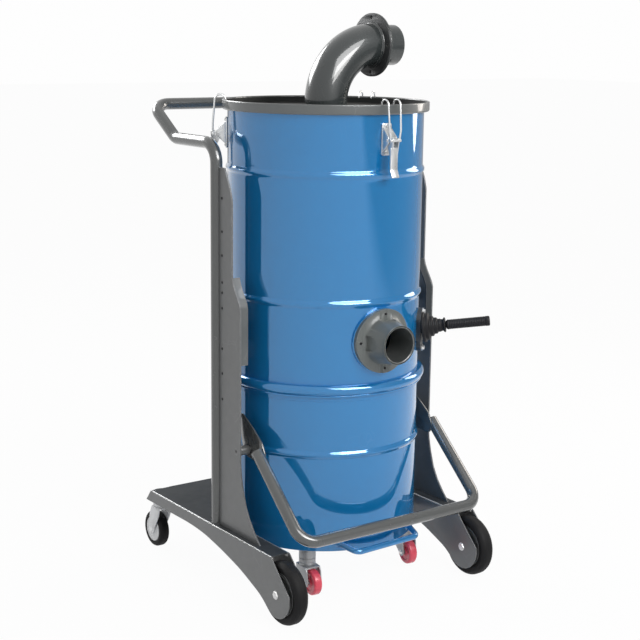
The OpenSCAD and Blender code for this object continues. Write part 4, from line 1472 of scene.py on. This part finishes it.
@dataclass
class RearCaster:
    """Swivel fork with its wheel under the tail of a leg."""

    shop: Workshop
    side: int
    name: str
    x: float = LEG_X
    stem: float = STEM_Y
    trail: float = 0.026
    radius: float = 0.046

    def build(self) -> None:
        """Makes fork, bearing and wheel."""
        shop, x = self.shop, self.side * self.x
        race = turned(soften([(0, 0.110), (0.0245, 0.110), (0.0245, 0.1135), (0.019, 0.1155), (0.0215, 0.118),
                              (0.0215, 0.1268), (0.0175, 0.1295), (0, 0.1295)], 0.0012), 64)
        shapes = [placed(race, at(x, self.stem, 0))]
        side_view = soften([(-0.018, 0.1115), (-0.013, 0.090), (0.0128, 0.0490),
                            *arc((self.trail, self.radius), 0.0129, 178, 362, 22), (0.0384, 0.0490), (0.031, 0.090),
                            (0.020, 0.1115)], 0.006)
        for cheek in (-1, 1):
            sheet = plate([(y + self.stem, z) for y, z in side_view], 0.0028, 0.0008)
            shapes.append(placed(sheet, at(x + cheek * 0.0165, 0, 0, Axis.X)))
        crown = plate(soften(box(-0.0178, -0.0175, 0.0178, 0.0205), 0.004), 0.0030, 0.0008)
        shapes.append(placed(crown, at(x, self.stem, 0.1105)))
        body, wheel = f"rear_fork_{self.name}", f"rear_wheel_{self.name}"
        shop.piece(f"caster_fork_{self.name}", PALE_METAL, body, shapes, [body])
        hub = at(x, self.stem + self.trail, self.radius, Axis.X)
        shop.piece(f"caster_pin_{self.name}", ZINC, body, [placed(pin(0.0058, 0.0185, 28, 0.0012), hub)], [], 30, True)
        tread = [(0.031, 0.0115), (0.034, 0.0132), (0.0400, 0.0132), (0.0440, 0.0105), (self.radius - 0.0001, 0.0065)]
        shop.wheel(f"caster_tyre_{self.name}", TYRE, wheel, tread, 0.0016, 112, hub, [wheel], 40)
        rim = [(0.0062, 0.0138), (0.012, 0.0138), (0.014, 0.0118), (0.027, 0.0118), (0.0285, 0.0128),
               (0.0312, 0.0128), (0.0316, 0.0112)]
        shop.wheel(f"caster_disc_{self.name}", PALE_METAL, wheel, rim, 0.001, 80, hub)


@dataclass
class ContainerCaster:
    """Small swivel caster under the container."""

    shop: Workshop
    number: int
    turn: float
    yaw: float
    floor: float = 0.014
    radius: float = 0.0305
    trail: float = 0.027

    def build(self) -> None:
        """Makes bracket and wheel."""
        shop, angle, axle = self.shop, math.radians(self.turn), self.floor + self.radius
        home = (at(CASTER_RING * math.sin(angle), -CASTER_RING * math.cos(angle), 0)
                @ Matrix.Rotation(math.radians(self.yaw), 4, "Z"))
        collar = turned(soften([(0, 0.0812), (0.0198, 0.0812), (0.0198, 0.0868), (0.0186, 0.0876), (0.0198, 0.0884),
                                (0.0198, 0.0976), (0, 0.0976)], 0.0008), 56)
        shapes = [placed(collar, home)]
        outline = soften([(0.0195, 0.0806), (-0.0266, 0.0806), (-0.0317, 0.0728), (-0.0356, 0.0470),
                          *arc((-self.trail, axle), 0.0088, 180, 335, 14), (0.0178, 0.0682)], 0.002)
        shapes += [placed(plate(outline, 0.0029), home @ at(side * 0.018, 0, 0, Axis.X)) for side in (-1, 1)]
        crown = plate(soften(box(-0.0192, -0.0266, 0.0192, 0.0197), 0.003), 0.0029, 0.0007)
        hub = home @ at(0, -self.trail, axle, Axis.X)
        shapes += [placed(crown, home @ at(0, 0, 0.0796)), placed(pin(0.004, 0.0178, 20, 0.0008), hub)]
        body, wheel = f"stem_{self.number}", f"roller_{self.number}"
        shop.piece(f"caster_bracket_{self.number}", CASTER_METAL, body, shapes, [body])
        nuts = [shop.studs(Layout.POINTS, home @ at(0, -self.trail, axle) @ Matrix.Rotation(side * math.pi / 2, 4, "Y"),
                           0.0045, 0.003, washer=1.25, spots=[(0, 0, 0.0195)]) for side in (-1, 1)]
        shop.piece(f"caster_nuts_{self.number}", ZINC, body, nuts, sharp=25)
        disc = [(0.0042, 0.0108), (0.010, 0.0108), (0.0115, 0.0085), (0.0195, 0.0085), (0.021, 0.0105),
                (0.0270, 0.0108), (self.radius - 0.0001, 0.0075)]
        shop.wheel(f"caster_roller_{self.number}", RED_WHEEL, wheel, disc, 0.0018, 80, hub, [wheel], 38, 4)


# --------------------------------------------------------------------- studio


class Reach(Enum):
    """What a lamp gives: soft light, or only its shine on gloss."""

    LIGHT = "light"
    SHINE = "shine"


@dataclass(frozen=True)
class Lamp:
    """One soft panel."""

    name: str
    spot: Triple
    aim: Triple
    size: Pair
    power: float
    colour: Colour
    shape: str = "RECTANGLE"
    reach: Reach = Reach.LIGHT


@dataclass
class Studio:
    """Floor, light and camera."""

    place: Triple = (-1.9197, -2.7214, 1.3002)
    yaw: float = 35.41
    pitch: float = 11.58
    roll: float = 0.69
    lens: float = 78.55
    fill: float = 0.38
    sensor: float = 36.0
    floor_tone: float = 0.88
    floor_rough: float = 0.9
    floor_shine: float = 0.1
    floor_glow: float = 0.96
    white: float = 0.99
    far_tone: float = 0.04
    sky_fall: Pair = (0.25, 0.8)
    floor_fall: Pair = (1.6, 3.2)
    half: float = 30.0
    lamps: tuple[Lamp, ...] = (
        Lamp("front_panel", (0.25, -3.1, 2.35), (0.0, 0.0, 0.75), (2.0, 1.1), 62.0, (1.0, 0.99, 0.98)),
        Lamp("front_shine", (0.0, -2.6, 2.9), (0.0, 0.0, 0.9), (2.3, 1.7), 84.0, (1.0, 1.0, 1.0), reach=Reach.SHINE),
        Lamp("side_panel", (2.7, -0.15, 1.69), (0.0, -0.1, 1.1), (1.0, 1.8), 25.0, (1.0, 0.93, 0.86), "ELLIPSE"),
        Lamp("rear_panel", (-1.0, 3.0, 2.4), (0.0, 0.0, 0.8), (2.0, 1.2), 26.0, (0.98, 0.99, 1.0)),
        Lamp("rear_shine", (-0.65, 3.0, 2.5), (0.0, 0.0, 0.5), (1.9, 1.2), 62.0, (1.0, 1.0, 1.0), reach=Reach.SHINE))

    def camera(self) -> None:
        """Makes the camera at the viewing angle."""
        data = bpy.data.cameras.new("view")
        data.lens, data.sensor_width = self.lens, self.sensor
        made = bpy.data.objects.new("view", data)
        yaw, pitch, roll = (math.radians(v) for v in (self.yaw, self.pitch, self.roll))
        ahead = Vector((math.sin(yaw) * math.cos(pitch), math.cos(yaw) * math.cos(pitch), -math.sin(pitch)))
        level = Vector((math.cos(yaw), -math.sin(yaw), 0))
        rise = level.cross(ahead)
        right = level * math.cos(roll) + rise * math.sin(roll)
        up = rise * math.cos(roll) - level * math.sin(roll)
        made.matrix_world = Matrix.Translation(self.place) @ Matrix((right, up, -ahead)).transposed().to_4x4()
        bpy.context.scene.collection.objects.link(made)
        bpy.context.scene.camera = made

    def seen(self, maker: TreeMaker, coordinates: str, edges: Pair) -> Socket:
        """Adds nodes that tell whether a ray is a camera's, a mirror's or a glass's.

        Args:
            maker: the tree that gets them.
            coordinates: the output of Texture Coordinate that the right hand fall-off follows.
            edges: where along X that fall-off starts and ends.

        Returns:
            A socket that is 1 for a camera ray, and up to 1 for the others.
        """
        path = maker.node("ShaderNodeLightPath").outputs
        place = maker.node("ShaderNodeTexCoord").outputs[coordinates]
        fall = maker.ramp(maker.node("ShaderNodeSeparateXYZ", {0: place}).outputs["X"], *edges, 1.0, self.far_tone)
        mirror = maker.math("MAXIMUM", path["Is Glossy Ray"], path["Is Transmission Ray"])
        return maker.math("MAXIMUM", path["Is Camera Ray"], maker.math("MULTIPLY", mirror, fall))

    def world(self) -> None:
        """Makes an even sky that is white where it is seen."""
        sky = bpy.data.worlds.new("studio")
        sky.use_nodes = True
        maker = TreeMaker(sky.node_tree)
        maker.tree.nodes.clear()
        level = maker.ramp(self.seen(maker, "Generated", self.sky_fall), 0.0, 1.0, self.fill, self.white)
        shade = maker.node("ShaderNodeBackground", {"Strength": level, "Color": WHITE})
        maker.node("ShaderNodeOutputWorld", {0: shade.outputs[0]})
        bpy.context.scene.world = sky

    def floor(self) -> None:
        """Makes the pale floor."""
        mesh = bpy.data.meshes.new("studio_floor")
        mesh.from_pydata([(*spot, 0) for spot in box(-self.half, -self.half, self.half, self.half)], [], [range(4)])
        made = bpy.data.objects.new("studio_floor", mesh)
        tone = bpy.data.materials.new("studio_floor")
        tone.use_nodes = True
        maker = TreeMaker(tone.node_tree)
        surface = maker.tree.nodes["Principled BSDF"]
        for name, value in (("Base Color", (self.floor_tone,) * 3 + (1,)), ("Roughness", self.floor_rough),
                            ("Specular IOR Level", self.floor_shine)):
            surface.inputs[name].default_value = value
        glow = maker.node("ShaderNodeEmission", {"Color": WHITE})
        share = maker.math("MULTIPLY", self.seen(maker, "Object", self.floor_fall), self.floor_glow)
        both = maker.node("ShaderNodeMixShader", {0: share, 1: surface.outputs[0], 2: glow.outputs[0]})
        maker.tree.links.new(both.outputs[0], maker.tree.nodes["Material Output"].inputs[0])
        mesh.materials.append(tone)
        bpy.context.scene.collection.objects.link(made)

    def light(self) -> None:
        """Makes the soft panels."""
        for lamp in self.lamps:
            data = bpy.data.lights.new(lamp.name, "AREA")
            data.shape, data.size, data.size_y, data.energy = lamp.shape, *lamp.size, lamp.power
            data.color = lamp.colour
            made = bpy.data.objects.new(lamp.name, data)
            made.location = lamp.spot
            made.rotation_mode = "QUATERNION"
            made.rotation_quaternion = (Vector(lamp.aim) - Vector(lamp.spot)).to_track_quat("-Z", "Y")
            made.visible_diffuse = lamp.reach is Reach.LIGHT
            bpy.context.scene.collection.objects.link(made)

    def build(self) -> None:
        """Sets the whole studio."""
        bpy.context.scene.view_settings.view_transform = "Standard"
        self.camera()
        self.world()
        self.floor()
        self.light()


def dress_rest(shop: Workshop) -> None:
    """Gives every frame node that still shows a finish of its own.

    Args:
        shop: the workshop with its finishes.
    """
    for name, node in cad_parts.items():
        for slot in node.material_slots:
            slot.material = shop.materials[FRAME_PAINT.name if "latch" not in name else ZINC.name]


def main() -> None:
    """Builds the studio and every sub-assembly."""
    logging.basicConfig(level=logging.INFO, format="%(message)s")
    Studio().build()
    shop = Workshop()
    dress_rest(shop)
    Drum(shop).build()
    PullHandle(shop).build()
    Lid(shop).build()
    Outlet(shop).build()
    Inlet(shop).build()
    FlapControl(shop).build()
    for number, turn in enumerate((0.0, 120.0, -120.0), 1):
        Latch(shop, number, turn).build()
    Trolley(shop).build()
    LiftLever(shop).build()
    for side, name in SIDES:
        FrontWheel(shop, side, name).build()
        RearCaster(shop, side, name).build()
    for number, (turn, yaw) in enumerate(CASTERS, 1):
        ContainerCaster(shop, number, turn, yaw).build()
    LOG.info("%d pieces", shop.count)


if __name__ == "__main__":
    main()
